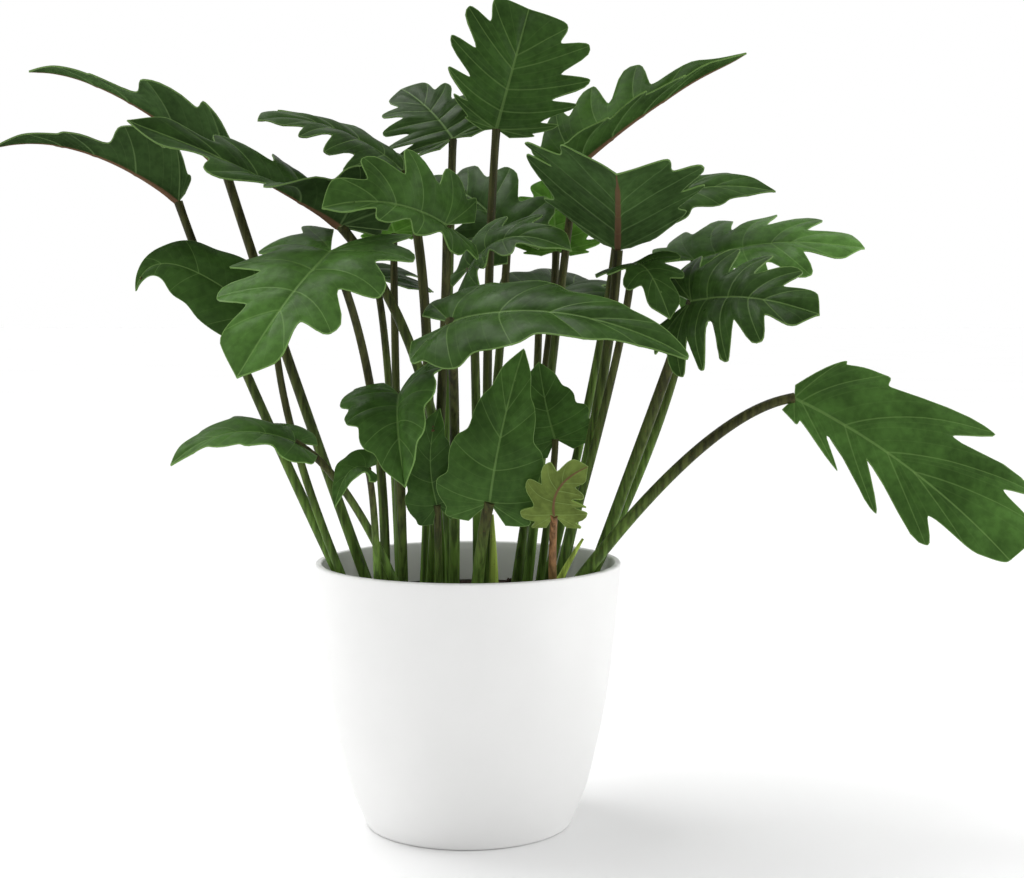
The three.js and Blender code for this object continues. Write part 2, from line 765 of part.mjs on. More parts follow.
function digHole(stations, radiusAt) {
  const hole = toManifold(rootHole(stations, radiusAt));
  holes = holes ? holes.add(hole) : hole;
}

for (const leaf of LEAVES) {
  const end = stalkEnd(leaf, midribFrame(leaf, 0));
  const stations = stalkStations(leaf, end);
  addMesh(`leaf_blade_${leaf.name}`, bladeGeometry(leaf), GREENS[leaf.green], 0.5);
  addMesh(`leaf_stalk_${leaf.name}`, rod(stations, stalkRadius(leaf)), STALK_OLIVE, 0.6);
  digHole(stations, stalkRadius(leaf));
}

for (const leaf of YOUNG_LEAVES) {
  const stations = stalkStations(leaf, vec(leaf.junction));
  const stalk = toManifold(rod(stations, stalkRadius(leaf)));
  const blade = toManifold(bladeGeometry(leaf));
  addMesh(leaf.name, fromManifold(stalk.add(blade)), GREENS[leaf.green], 0.5);
  digHole(stations, stalkRadius(leaf));
}

for (const shoot of SHOOTS) {
  const stations = stalkStations(shoot, vec(shoot.junction));
  addMesh(shoot.name, rod(stations, shootRadius(shoot)), SHOOT_GREEN, 0.5);
  digHole(stations, shootRadius(shoot));
}

const soilBottom = POT_FLOOR + SEAT_GAP;
const soilEdges = POT_OUTLINE.map(([at]) => at * POT_HEIGHT).filter((z) => z > soilBottom && z < SOIL_TOP);
const soilBlock = turned([
  [0, soilBottom],
  [innerRadius(soilBottom) - SEAT_GAP, soilBottom],
  ...soilEdges.map((z) => [innerRadius(z) - SEAT_GAP, z]),
  [innerRadius(SOIL_TOP) - SEAT_GAP, SOIL_TOP],
  [0, SOIL_TOP],
]);
addMesh('potting_soil', fromManifold(toManifold(soilBlock).subtract(holes)), 0x2b211a, 0.95);

export default group;
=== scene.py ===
"""Potted xanadu philodendron: leaves, stalks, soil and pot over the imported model, in a plain studio."""

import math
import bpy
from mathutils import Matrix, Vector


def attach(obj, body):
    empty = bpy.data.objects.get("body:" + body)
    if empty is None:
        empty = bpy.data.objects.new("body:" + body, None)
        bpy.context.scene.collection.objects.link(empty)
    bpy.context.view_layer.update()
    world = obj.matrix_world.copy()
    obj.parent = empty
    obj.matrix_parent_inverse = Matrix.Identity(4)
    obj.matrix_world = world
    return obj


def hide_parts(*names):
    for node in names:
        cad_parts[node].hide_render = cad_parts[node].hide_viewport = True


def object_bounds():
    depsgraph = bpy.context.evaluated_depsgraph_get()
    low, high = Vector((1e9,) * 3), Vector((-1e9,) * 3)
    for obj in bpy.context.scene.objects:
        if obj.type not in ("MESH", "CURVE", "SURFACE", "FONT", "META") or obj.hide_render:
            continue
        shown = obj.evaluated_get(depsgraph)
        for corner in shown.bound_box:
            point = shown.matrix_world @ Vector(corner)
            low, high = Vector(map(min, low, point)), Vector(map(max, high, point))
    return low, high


bl_info = {
    "name": "Potted Xanadu Philodendron",
    "version": (1, 0, 0),
    "blender": (4, 5, 0),
    "location": "3D View > Sidebar > Plant",
    "description": "Makes the leaves, stalks, pot, soil and studio of a potted xanadu philodendron",
    "category": "Object",
}

import bpy
import numpy as np
from bpy.props import FloatProperty, FloatVectorProperty, IntProperty, PointerProperty
from mathutils import Vector, noise

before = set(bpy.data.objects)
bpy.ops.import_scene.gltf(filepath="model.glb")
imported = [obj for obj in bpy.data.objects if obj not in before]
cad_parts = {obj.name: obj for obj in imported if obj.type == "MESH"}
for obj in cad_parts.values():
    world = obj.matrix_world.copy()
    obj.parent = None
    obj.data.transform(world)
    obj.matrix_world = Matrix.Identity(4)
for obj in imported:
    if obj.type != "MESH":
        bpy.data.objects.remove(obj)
CAD_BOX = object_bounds()

MM = 0.001

# Sizes that the leaves share, in millimetres
SOIL_TOP = 135
ROOT_DEPTH = 16
BLADE_THICKNESS = 0.8
SEAT_GAP = 0.3

# Blades: lobes that the tip counts as, share of it over which it narrows in, and how slowly notches deepen
TIP_LOBE = 1.3
TIP_RISE = 0.45
LOBE_ROUND = 3

# Share of a blade's edge that is calm at its base, and share whose veins fan out from the junction
CALM_BASE = 0.4
VEIN_FAN = 0.3

# Push at the edge's end that makes a tip blunt, and half width from which relief and lines are full size
BLUNT_PUSH = 2.2
FULL_SIZE = 40

# Rows of a blade's grid, as shares of the way from the midrib to the edge, and columns beside each vein
BLADE_ROWS = (0, 0.012, 0.03, 0.06, 0.11, 0.18, 0.27, 0.37, 0.48, 0.59, 0.7, 0.8, 0.88, 0.94, 0.98, 1)
VEIN_STEPS = 8

# Outlines of half a blade up to its tip: shares of its length along the midrib, and of its half width
ARROW = ((-0.24, 0.3), (-0.22, 0.82), (0.06, 1), (0.34, 0.94), (0.6, 0.76), (0.86, 0.42))
OPEN = ((-0.06, 0.3), (0.03, 0.8), (0.24, 1), (0.46, 0.98), (0.68, 0.8), (0.88, 0.5))
FAN = ((-0.04, 0.2), (0.05, 0.62), (0.2, 0.84), (0.4, 1), (0.66, 1), (0.93, 0.7))
OVAL = ((-0.18, 0.3), (-0.12, 0.86), (0.14, 1), (0.4, 0.86), (0.63, 0.62), (0.84, 0.34))
LONG = ((-0.14, 0.34), (-0.1, 0.86), (0.12, 1), (0.38, 0.8), (0.63, 0.52), (0.85, 0.28))
BROAD = ((-0.02, 0.14), (0.11, 0.72), (0.25, 0.76), (0.62, 1), (0.84, 0.8), (0.98, 0.5))
BROAD_NEAR = ((-0.02, 0.3), (0.07, 0.45), (0.29, 0.77), (0.49, 1), (0.7, 0.95), (0.88, 0.42))
SABRE = ((-0.1, 0.3), (-0.06, 0.75), (0.16, 1), (0.34, 1), (0.53, 0.95), (0.76, 0.36))
SABRE_NEAR = ((-0.08, 0.3), (0.02, 0.8), (0.22, 1), (0.42, 0.9), (0.6, 0.7), (0.8, 0.4))
HEART = ((-0.34, 0.3), (-0.36, 0.78), (-0.08, 1), (0.26, 0.98), (0.56, 0.8), (0.84, 0.44))
RIBBON = ((0, 0.2), (0.04, 0.6), (0.18, 0.96), (0.38, 0.86), (0.58, 0.46), (0.82, 0.26))
CUP = ((0, 0.16), (0.1, 0.5), (0.3, 0.84), (0.56, 1), (0.82, 0.98), (1, 0.62))
TAIL = ((-0.1, 0.3), (-0.04, 0.85), (0.18, 1), (0.4, 0.86), (0.6, 0.54), (0.8, 0.22))


def shape(outline, cuts, lean, sweep, ruffle, feet, right=None, cuts_right=None, tip_steps=16):
    """Shape that leaves share: outline, depth of each notch, lean of the lobes, sweep of the veins, height
    of the ruffles and how far along the midrib the last vein starts. The right half may differ."""
    edges = [(*edge, (1, 0)) for edge in (outline, right or outline)]
    cuts = [np.array(depths) for depths in (cuts, cuts_right or cuts)]
    return dict(edges=edges, cuts=cuts, lobes=len(cuts[0]), whole=len(cuts[0]) + TIP_LOBE,
                lean=lean, sweep=sweep, ruffle=ruffle, feet=feet, tip_steps=tip_steps)


FORMS = {
    "broad": shape(BROAD, (0.13, 0.2, 0.36, 0.25), 0.25, 0.1, 2, 0.7,
                   right=BROAD_NEAR, cuts_right=(0.3, 0.6, 0.7, 0.35)),
    "sabre": shape(SABRE, (0.2, 0.3, 0.45, 0.5), 0.24, 0.1, 3, 0.7,
                   right=SABRE_NEAR, cuts_right=(0.1, 0.14, 0.18, 0.2)),
    "open": shape(OPEN, (0.24, 0.36, 0.42, 0.42, 0.36), 0.2, 0.1, 3, 0.74),
    "fan": shape(FAN, (0.2, 0.34, 0.38, 0.38, 0.34), 0.2, 0.06, 3, 0.7),
    "heart": shape(HEART, (0.3, 0.36, 0.46, 0.44), 0.18, 0.1, 3, 0.76),
    "ribbon": shape(RIBBON, (0.16, 0.3, 0.34, 0.24), 0.1, 0.04, 4, 0.8),
    "cup": shape(CUP, (0.1, 0.2, 0.28, 0.24), 0.12, 0.04, 6, 0.7),
    "fingered": shape(ARROW, (0.32, 0.44, 0.52, 0.52, 0.46), 0.2, 0.1, 3, 0.74),
    "lobed": shape(ARROW, (0.28, 0.4, 0.44, 0.4), 0.18, 0.1, 3, 0.76),
    "wavy": shape(OVAL, (0.1, 0.15, 0.15, 0.1), 0.1, 0.08, 3, 0.8),
    "frilled": shape(OVAL, (0.26, 0.42, 0.44, 0.34), 0.12, 0.08, 5, 0.8),
    "long": shape(LONG, (0.14, 0.15, 0.13, 0.08), 0.1, 0.08, 3, 0.8),
    "tailed": shape(TAIL, (0.06, 0.08, 0.06), 0, 0.04, 1, 0.9, tip_steps=24),
    "young": shape(LONG, (0.06, 0.08, 0.08), 0, 0.08, 1.5, 0.8),
}

KEYS = ("name", "form", "green", "stalk", "root", "knee", "junction", "middle", "tip", "face")


def plan(*values, **more):
    """A leaf, in millimetres and degrees. Its stalk runs from the root past the knee to the junction, and
    its radius from the first value to the second. The midrib runs on past the middle to the tip, and the
    upper side looks along face. The last three values are the width of the half blades, their rise from
    the midrib and their bend towards the edge, one number or one for the left and one for the right half.
    More: face and fold at the tip, a tint, a blunt tip."""
    halves = [value if isinstance(value, tuple) else (value, value) for value in values[len(KEYS):]]
    return dict(zip(KEYS, values), **dict(zip(("half", "fold", "droop"), halves)), **more)


LEAVES = (
    plan("01", "ribbon", "deep", (3.6, 2.4), (-60, -20), (-139, -24, 286), (-169, -20, 375),
         (-222, -40, 418), (-266, -60, 402), (-0.1, 0, 1), (32, 26), (70, 45), (0, 30), fold_tip=(24, 12)),
    plan("02", "ribbon", "deep", (3.8, 2.8), (-52, 2), (-115, 10, 292), (-148, 20, 397),
         (-220, 25, 460), (-267, 20, 457), (0.1, 0.05, 1), (36, 40), (70, 40), (0, 40), fold_tip=(10, 24)),
    plan("03", "frilled", "deep", (3.8, 2.8), (-10, -26), (-3, -45, 278), (-72, -40, 360),
         (-119, -50, 393), (-187, -70, 416), (0.1, 0, 0.95), (44, 42), (80, 50), (20, 50),
         face_tip=(0, -0.3, 0.9), fold_tip=(-14, 40)),
    plan("04", "heart", "mid", (3.4, 2.2), (-48, -36), (-44, -36, 269), (-74, -75, 343),
         (-92, -115, 324), (-118, -130, 275), (-0.3, -0.85, 0.4), (46, 54), 8, 30),
    plan("05", "tailed", "deep", (3, 2), (-58, -34), (-108, -44, 236), (-110, -44, 302),
         (-180, -50, 362), (-188, -52, 322), (-0.1, -0.8, 0.5), 24, 10, 40),
    plan("06", "wavy", "mid", (3, 2), (-26, -58), (-61, -70, 218), (-94, -80, 238),
         (-131, -90, 255), (-160, -100, 227), (-0.1, -0.35, 0.9), 24, 12, 30),
    plan("08", "wavy", "deep", (3.2, 2.2), (-37, -28), (-38, -50, 240), (-37, -70, 264),
         (-38, -103, 254), (-31, -108, 215), (0, -0.8, 0.6), 33, (55, 10), 30),
    plan("10", "long", "mid", (4.2, 3), (4, -56), (8, -70, 182), (14, -78, 204),
         (19, -88, 245), (33, -78, 290), (0, -0.95, 0.2), 31, 12, 30),
    plan("12", "wavy", "deep", (3, 2), (40, 12), (53, 10, 214), (53, 10, 233),
         (47, 10, 250), (43, 25, 280), (0, -0.9, 0.3), 28, 10, 30),
    plan("14", "long", "mid", (3.6, 2.6), (-8, -34), (-5, -46, 272), (-7, -105, 305),
         (54, -130, 322), (116, -160, 287), (0.1, -0.6, 0.8), (36, 40), 14, 40, blunt=True),
    plan("15", "wavy", "deep", (3.4, 2.4), (30, 60), (44, 80, 260), (44, 98, 306),
         (60, 132, 342), (92, 172, 326), (0, -0.2, 0.95), 44, (30, 20), 40),
    plan("16", "lobed", "mid", (3.6, 2.4), (-24, -10), (-11, -40, 300), (-10, -60, 359),
         (-40, -88, 377), (-76, -100, 366), (0.1, -0.6, 0.8), (24, 36), (10, 45), (40, 20)),
    plan("17", "lobed", "mid", (3.4, 2.4), (6, -8), (6, -20, 300), (2, -30, 336),
         (20, -42, 366), (60, -66, 344), (-0.5, -0.3, 0.8), 28, (30, 10), 40, face_tip=(0.2, -0.5, 0.8)),
    plan("18", "frilled", "deep", (3.4, 2.4), (4, 48), (22, 52, 318), (24, 58, 358),
         (-6, 98, 405), (-42, 150, 392), (0, -0.3, 0.95), 38, (12, 50), 50),
    plan("19", "fan", "deep", (3.6, 2.4), (12, 16), (9, 15, 318), (17, 15, 421),
         (29, 10, 464), (37, 25, 495), (0, -0.95, 0.2), (40, 46), (25, 5), 20),
    plan("20", "open", "mid", (3.4, 2.4), (-18, 30), (-12, 26, 349), (-10, 32, 417),
         (-24, 50, 440), (-45, 82, 455), (0, -0.8, 0.5), 36, 8, 40),
    plan("21", "open", "mid", (3.8, 2.8), (-28, 10), (-17, 10, 318), (-38, 8, 396),
         (-82, -2, 431), (-122, -22, 423), (0, -0.4, 0.9), 38, 10, 50),
    plan("22", "sabre", "lime", (3.6, 2.4), (34, 42), (56, 54, 318), (67, 62, 403),
         (116, 70, 448), (177, 80, 477), (-0.5, 0.2, 0.9), (50, 24), (66, 50), (10, 20), fold_tip=(58, 14)),
    plan("23", "cup", "deep", (4, 2.8), (48, 2), (86, -10, 270), (89, -15, 347),
         (88, -42, 376), (84, -84, 386), (0, 0.6, 0.8), (50, 60), (14, 34), 10, face_tip=(0, 0.35, 0.95)),
    plan("24", "open", "lime", (3.4, 2.4), (26, 46), (54, 74, 299), (55, 80, 350),
         (55, 92, 380), (50, 108, 399), (0, -0.9, 0.4), 32, 12, 40),
    plan("25", "fingered", "mid", (3.4, 2.4), (60, 10), (135, 20, 257), (138, 18, 342),
         (184, 8, 360), (237, -5, 348), (0, -0.5, 0.85), (58, 54), (5, 10), (30, 60)),
    plan("26", "fingered", "mid", (4, 3), (62, -14), (117, -40, 276), (128, -60, 316),
         (158, -78, 324), (194, -95, 308), (0, -0.7, 0.7), (46, 50), 10, (30, 50)),
    plan("28", "broad", "deep", (4.4, 2.8), (40, -40), (134, -48, 254), (189, -46, 261),
         (254, -65, 229), (304, -84, 172), (-0.1, -0.92, 0.35), (52, 32), 4, 30, blunt=True),
    plan("29", "wavy", "mid", (3.4, 2.4), (42, 26), (86, 26, 290), (92, 24, 372),
         (140, 20, 394), (186, 10, 384), (0, -0.6, 0.8), 30, 10, 40),
    plan("30", "open", "lime", (3, 2.2), (-42, 20), (-47, 26, 330), (-46, 26, 359),
         (-56, 45, 393), (-85, 120, 390), (0, -0.3, 0.95), 32, 12, 30),
    plan("31", "fingered", "deep", (3, 2.2), (-44, 44), (-51, 55, 305), (-62, 70, 335),
         (-84, 112, 352), (-116, 170, 332), (0, 0.1, 0.95), (46, 42), 12, 40),
)

YOUNG_LEAVES = (
    plan("young_leaf_1", "young", "mid", (2.6, 1.8), (-50, -56), (-49, -80, 206), (-53, -88, 224),
         (-65, -95, 230), (-70, -105, 204), (-0.2, -0.7, 0.7), 12, 20, 20),
    plan("young_leaf_2", "lobed", "lime", (3, 2), (50, -58), (49, -64, 178), (50, -86, 198),
         (47, -97, 217), (68, -100, 226), (0.2, 0.9, 0.2), 19, 10, 20, tint="yellow"),
    plan("young_leaf_3", "wavy", "deep", (2.8, 2), (-16, -54), (-15, -60, 178), (-16, -66, 201),
         (-24, -70, 231), (-14, -70, 256), (0, -0.9, 0.3), 17, 10, 20),
    plan("young_leaf_4", "lobed", "deep", (3, 2.2), (44, -24), (95, -25, 294), (96, -32, 338),
         (104, -60, 342), (114, -80, 306), (0, -0.7, 0.7), 24, 10, 20),
)

# Shoots without a blade: a rolled new leaf and the pointed sheath that it came out of
SHOOTS = (
    dict(
        name="new_leaf_spear", stalk=(3.6, 0.8),
        root=(16, -34), knee=(16, -34, 150), junction=(15, -35, 192),
    ),
    dict(
        name="leaf_sheath", stalk=(3, 0.7),
        root=(40, -54), knee=(48, -56, 150), junction=(67, -60, 181),
    ),
)

# Leaves that are lighter or darker than the colour they share, partly by their own tone and partly by
# painted light and shade
TONE_AND_PAINTED_LIGHT = {
    "01": 0.8, "02": 1.1, "03": 0.85, "04": 1.1, "05": 1.1, "06": 1.1, "08": 1.7, "10": 0.85, "12": 1.6,
    "14": 0.66, "15": 0.55, "16": 0.85, "17": 0.6, "18": 0.85, "20": 0.5, "21": 0.5, "22": 0.3, "23": 1.3,
    "24": 0.65, "25": 1.35, "26": 0.52, "28": 1.65, "29": 0.6, "31": 0.6,
    "young_leaf_1": 0.85, "young_leaf_2": 0.75, "young_leaf_3": 1.2, "young_leaf_4": 0.85,
}

# Outer radius of the pot, in millimetres, at shares of its height, and the steps that draw its section
POT_STATIONS = ((0.12, 70.5), (0.3, 78.2), (0.5, 84.3), (0.75, 89.0))
OUTSIDE_STEPS = 34
INSIDE_STEPS = 30
CORNER_STEPS = 5

# Soil: segments and rings, last ring and rough part as shares of the radius, waves and grains as number
# per metre and height in metres, and how far the surface has sunk
SOIL_SEGMENTS = 96
SOIL_WALL_RINGS = 12
SOIL_RINGS = 50
SOIL_LAST_RING = 0.98
SOIL_ROUGH = 0.985
SOIL_WAVES = ((35.0, 0.0012), (160.0, 0.0011))
SOIL_GRAIN = (420.0, 0.0012)
SOIL_SINK = 0.0008
FIBRE_COLOUR = "6b5238"

# Crumbs: room to the pot in metres, smallest size and spread of sizes, flattening, lumps and height laid at
CRUMB_SEED = 7
CRUMB_MARGIN = 0.004
CRUMB_LEAST = 0.12
CRUMB_SPREAD = 0.38
CRUMB_FLAT = 0.6
CRUMB_FLAT_SPREAD = 0.7
CRUMB_LUMPS = 0.28
CRUMB_LIFT = 0.2

# Stalks: steps along one, swelling under the blade in millimetres and its share, and how the colour varies
STALK_STEPS = 26
SWELLING = 0.25
SWELLING_SHARE = 0.03
TONE_RANGE = 0.16
TONE_STEP = 2.4

# Corners closer together than this, in metres, become one
BLADE_WELD = 0.00002
ROD_WELD = 0.00001
SPIN_WELD = 0.000005

# Half widths of the painted lines, in millimetres: midrib at its base and its loss up to the tip, veins at
# the midrib, and fine veins, which is also what veins lose up to the edge
RIB_LINE = 0.95
RIB_LINE_LOSS = 0.6
VEIN_LINE = 0.5
FINE_LINE = 0.28

# Relief of a blade: how far, in millimetres, each part of it reaches from ribs, veins or margin
PLEAT_FROM_VEIN = 4.5
PLEAT_FROM_RIB = 4.0
HEM_WIDTH = 3.0
VEIN_GROOVE_WIDTH = 1.0
RIB_GROOVE_WIDTH = 1.3
FLUTTER_WIDTH = 9.0
RIB_WIDTH = 1.5
RIDGE_WIDTH = 0.8

# Grooves and ridges of the veins as shares of the midrib's, and what ribs and ridges lose up to the tip
VEIN_GROOVE = 0.6
VEIN_RIDGE = 0.25
RIB_LOSS = 0.75
RIDGE_LOSS = 0.5

# Waves of a blade, per metre, and the height of the wave that runs over all of it
SWELL_PER_METRE = 55.0
FLUTTER_PER_METRE = 34.0
SWELL_HEIGHT = 0.0005

# Mirror shine of leaves: waxy upper sides, and dull undersides and fresh leaves
WAXY = 0.05
DULL = 0.02

# Light that the walls and the ceiling of the white room give, and the heights between which it rises
WALL_LIGHT = 0.25
CEILING_LIGHT = 0.62
WALL_TOP = 0.05
CEILING_EDGE = 0.65

# Lights of the studio, in metres, degrees and watts
OVERHEAD_PLACE = (-1, -0.5, 3)
OVERHEAD_POWER = 1.9
OVERHEAD_TURN = (-12, -24, 0)
OVERHEAD_SOFTNESS = 40
SIDE_LIGHTS = (("left_light", (-1.6, -0.4, 0.7), 6), ("right_light", (1.7, -0.2, 0.7), 12))
SIDE_LIGHT_SIZE = 1.2
SIDE_LIGHT_TARGET = (0, 0, 0.1)
FLOOR_WIDTH = 200
FLOOR_COLOUR = (0.93, 0.93, 0.93, 1.0)

# Camera: place in metres, downward tilt in radians, lens and sensor in millimetres
CAMERA_PLACE = (0.0265, -1.0, 0.304)
CAMERA_TILT = 0.07
CAMERA_LENS = 58.29
CAMERA_SENSOR = 36


def linear(colour):
    """A colour written as six hexadecimal digits, in the linear values that a shader takes."""
    shares = [int(colour[i:i + 2], 16) / 255 for i in (0, 2, 4)]
    values = [c / 12.92 if c <= 0.04045 else ((c + 0.055) / 1.055) ** 2.4 for c in shares]
    return (*values, 1.0)


def colour_property(label, description, colour):
    return FloatVectorProperty(
        name=label, description=description, subtype="COLOR", size=4, min=0, max=1, default=linear(colour)
    )


def length_property(label, description, millimetres):
    return FloatProperty(
        name=label, description=description, unit="LENGTH", precision=5, min=0, default=millimetres * MM
    )


class PlantSizes(bpy.types.PropertyGroup):
    """Sizes of the pot, the soil and the leaves' relief."""

    pot_height: length_property("Pot height", "Height of the pot", 160)
    pot_radius: length_property("Pot radius", "Outer radius at the rim", 92.5)
    pot_base_radius: length_property("Base radius", "Outer radius at the foot", 62.4)
    pot_wall: length_property("Pot wall", "Thickness of the pot's wall", 4)
    pot_floor: length_property("Pot floor", "Thickness of the pot's floor", 6)
    rim_round: length_property("Rim rounding", "Rounding of the rim's two edges", 1.2)
    foot_round: length_property("Foot rounding", "Rounding of the foot's edge", 2.5)
    pot_segments: IntProperty(name="Pot segments", description="Faces round the pot", default=144, min=24)
    crumb_size: length_property("Crumb size", "Size of the larger soil crumbs", 5)
    crumb_count: IntProperty(name="Crumbs", description="Loose crumbs on the soil", default=420, min=0)
    blade_thickness: length_property("Blade thickness", "Thickness of a leaf blade", BLADE_THICKNESS)
    rib_depth: length_property("Midrib depth", "How far the midrib stands out under the blade", 1.6)
    groove_depth: length_property("Vein groove", "Depth of the grooves over the veins", 0.45)
    pleat_height: length_property("Pleat height", "Rise of the blade between its veins", 1.1)
    margin_flutter: length_property("Margin flutter", "How far the blade's edges wave up and down", 2.4)


class PlantColours(bpy.types.PropertyGroup):
    """Colours of the pot, the soil, the leaves and the stalks."""

    pot: colour_property("Pot", "White of the pot", "f4f4f3")
    soil: colour_property("Soil", "Dark brown of the soil", "2b211a")
    deep: colour_property("Deep green", "Oldest leaves", "324c20")
    mid: colour_property("Mid green", "Grown leaves", "405f2a")
    lime: colour_property("Lime green", "Fresh leaves", "5a8a32")
    yellow: colour_property("Yellow green", "Yellowish green of the youngest leaf", "748a36")
    vein: colour_property("Veins", "Pale green of ribs, veins and margins", "8fae68")
    rib_under: colour_property("Rib underside", "Reddish brown of the ribs' undersides", "6a4a34")
    stalk: colour_property("Stalks", "Olive brown of the grown stalks", "3a3c1f")
    stalk_base: colour_property("Stalk feet", "Green of the stalks near the soil", "53702e")
    young_stalk: colour_property("Young stalks", "Reddish brown of the youngest leaves' stalks", "75573a")
    young_foot: colour_property("Young feet", "Yellowish green of those stalks near the soil", "74853c")
    shoot: colour_property("Shoots", "Pale green of the new shoots", "8fa548")


# Helpers for objects

def clear_selection():
    if bpy.context.mode != "OBJECT":
        bpy.ops.object.mode_set(mode="OBJECT")
    bpy.ops.object.select_all(action="DESELECT")


def select_only(piece):
    clear_selection()
    piece.select_set(True)
    bpy.context.view_layer.objects.active = piece


def new_piece(name):
    """The object that an operator has just added, named and alone in the selection."""
    piece = bpy.context.object
    piece.name = name
    piece.data.name = name
    select_only(piece)
    return piece


def join(main, others):
    """The other pieces become part of the main one."""
    select_only(main)
    for piece in others:
        piece.select_set(True)
    bpy.ops.object.join()


def weld(piece, distance):
    select_only(piece)
    bpy.ops.object.mode_set(mode="EDIT")
    bpy.ops.mesh.select_all(action="SELECT")
    bpy.ops.mesh.remove_doubles(threshold=distance)
    bpy.ops.object.mode_set(mode="OBJECT")


def smooth(piece, angle):
    select_only(piece)
    bpy.ops.object.shade_smooth_by_angle(angle=math.radians(angle))


def set_values(mesh, name, values):
    layer = mesh.attributes.new(name, "FLOAT", "POINT")
    layer.data.foreach_set("value", np.ascontiguousarray(values, dtype=np.float32).ravel())


def read(rows, key, *width):
    """The numbers that the rows hold under the key."""
    values = np.empty((len(rows), *width), dtype=np.float32)
    rows.foreach_get(key, values.ravel())
    return values


def get_values(mesh, name):
    return read(mesh.attributes[name].data, "value")


def get_points(mesh):
    return read(mesh.vertices, "co", 3)


def set_points(mesh, points):
    mesh.vertices.foreach_set("co", np.ascontiguousarray(points, dtype=np.float32).ravel())
    mesh.update()


def settle(piece, slot, *nodes):
    """The finished piece rides on the plant and stands for its nodes. The slot is not used."""
    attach(piece, "root")
    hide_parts(*nodes)


# Materials

class Nodes:
    """A node tree under construction: add() puts in one node and gives back one of its outputs."""

    def __init__(self, tree):
        self.tree = tree

    def add(self, kind, sockets=None, output=0, **settings):
        node = self.tree.nodes.new(kind)
        for name, value in settings.items():
            setattr(node, name, value)
        for key, value in (sockets or {}).items():
            self.fill(node.inputs[key], value)
        return node.outputs[output]

    def fill(self, socket, value):
        if isinstance(value, bpy.types.NodeSocket):
            self.tree.links.new(value, socket)
        else:
            socket.default_value = value

    def remap(self, value, start, end, low, high):
        """The value, led smoothly from low at start to high at end."""
        sockets = {"Value": value, 1: start, 2: end, 3: low, 4: high}
        return self.add("ShaderNodeMapRange", sockets, interpolation_type="SMOOTHSTEP")


class Finish(Nodes):
    """A material under construction."""

    def __init__(self, name, specular):
        self.material = bpy.data.materials.new(name)
        self.material.use_nodes = True
        super().__init__(self.material.node_tree)
        self.shader = self.tree.nodes["Principled BSDF"]
        self.fill(self.shader.inputs["Specular IOR Level"], specular)

    def colour(self, name):
        """One of the plant's colours."""
        return tuple(getattr(bpy.context.scene.plant_colours, name))

    def place(self, scale=(1, 1, 1)):
        """Object coordinates, stretched by scale."""
        coordinates = self.add("ShaderNodeTexCoord", output="Object")
        return self.add("ShaderNodeMapping", {"Vector": coordinates, "Scale": scale})

    def cloud(self, place, scale, detail=3.0):
        return self.add("ShaderNodeTexNoise", {"Vector": place, "Scale": scale, "Detail": detail}, "Fac")

    def vary(self, cloud, low, high):
        """A number that drifts between low and high with the cloud."""
        return self.remap(cloud, 0.3, 0.7, low, high)

    def blend(self, share, first, second):
        return self.add("ShaderNodeMix", {0: share, 6: first, 7: second}, 2, data_type="RGBA")

    def shade(self, colour, brightness):
        """The colour, made darker or brighter by a factor."""
        return self.add("ShaderNodeHueSaturation", {"Color": colour, "Value": brightness})

    def value(self, name):
        return self.add("ShaderNodeAttribute", output="Fac", attribute_name=name)

    def line(self, name, core, rim, strength, colour, paint):
        """The colour with paint over it where the attribute is under core, fading out up to rim."""
        return self.blend(self.remap(self.value(name), core, rim, strength, 0.0), colour, paint)

    def done(self, colour, roughness, height=None, depth=0.0):
        """The material with a colour, a roughness and, from a height, a relief of a depth in metres."""
        sockets = {"Base Color": colour, "Roughness": roughness}
        if height is not None:
            relief = {"Height": height, "Distance": depth, "Strength": 1.0}
            sockets["Normal"] = self.add("ShaderNodeBump", relief)
        for socket, value in sockets.items():
            self.fill(self.shader.inputs[socket], value)
        return self.material


def leaf_finish(name, green, underside):
    """Green with cloudy patches, pale veins and margin. The underside is duller, with a brownish rib."""
    finish = Finish(name, DULL if green in ("lime", "yellow") or underside else WAXY)
    place = finish.place()
    # The brightness attribute is partly the leaf's own tone and partly painted light and shade
    body = finish.shade(finish.colour(green), finish.value("brightness"))
    patches = finish.vary(finish.cloud(place, 24.0, 6.0), 0.7, 1.27)
    grain = finish.vary(finish.cloud(place, 230.0, 5.0), 0.84, 1.16)
    colour = finish.shade(finish.shade(body, patches), grain)
    light = finish.shade(body, 1.75)
    colour = finish.blend(finish.remap(finish.cloud(place, 70.0), 0.5, 0.8, 0.0, 0.4), colour, light)
    pale = finish.blend(0.5, light, finish.colour("vein"))
    rib_paint, rib_strength = (finish.colour("rib_under"), 0.85) if underside else (pale, 0.5)
    colour = finish.line("fine", 0.3, 1.6, 0.08, colour, pale)
    colour = finish.line("vein", 0.35, 1.4, 0.36, colour, pale)
    colour = finish.line("rib", 0.55, 1.25, rib_strength, colour, rib_paint)
    colour = finish.line("edge", 0.2, 0.65, 0.7, colour, pale)
    if underside:
        faded = {"Color": colour, "Saturation": 0.9, "Value": 1.02}
        colour = finish.add("ShaderNodeHueSaturation", faded)
    smoothest, roughest = (0.5, 0.65) if underside else (0.24, 0.4)
    roughness = finish.vary(finish.cloud(place, 55.0), smoothest, roughest)
    return finish.done(colour, roughness, finish.cloud(place, 140.0, 4.0), 0.0003)


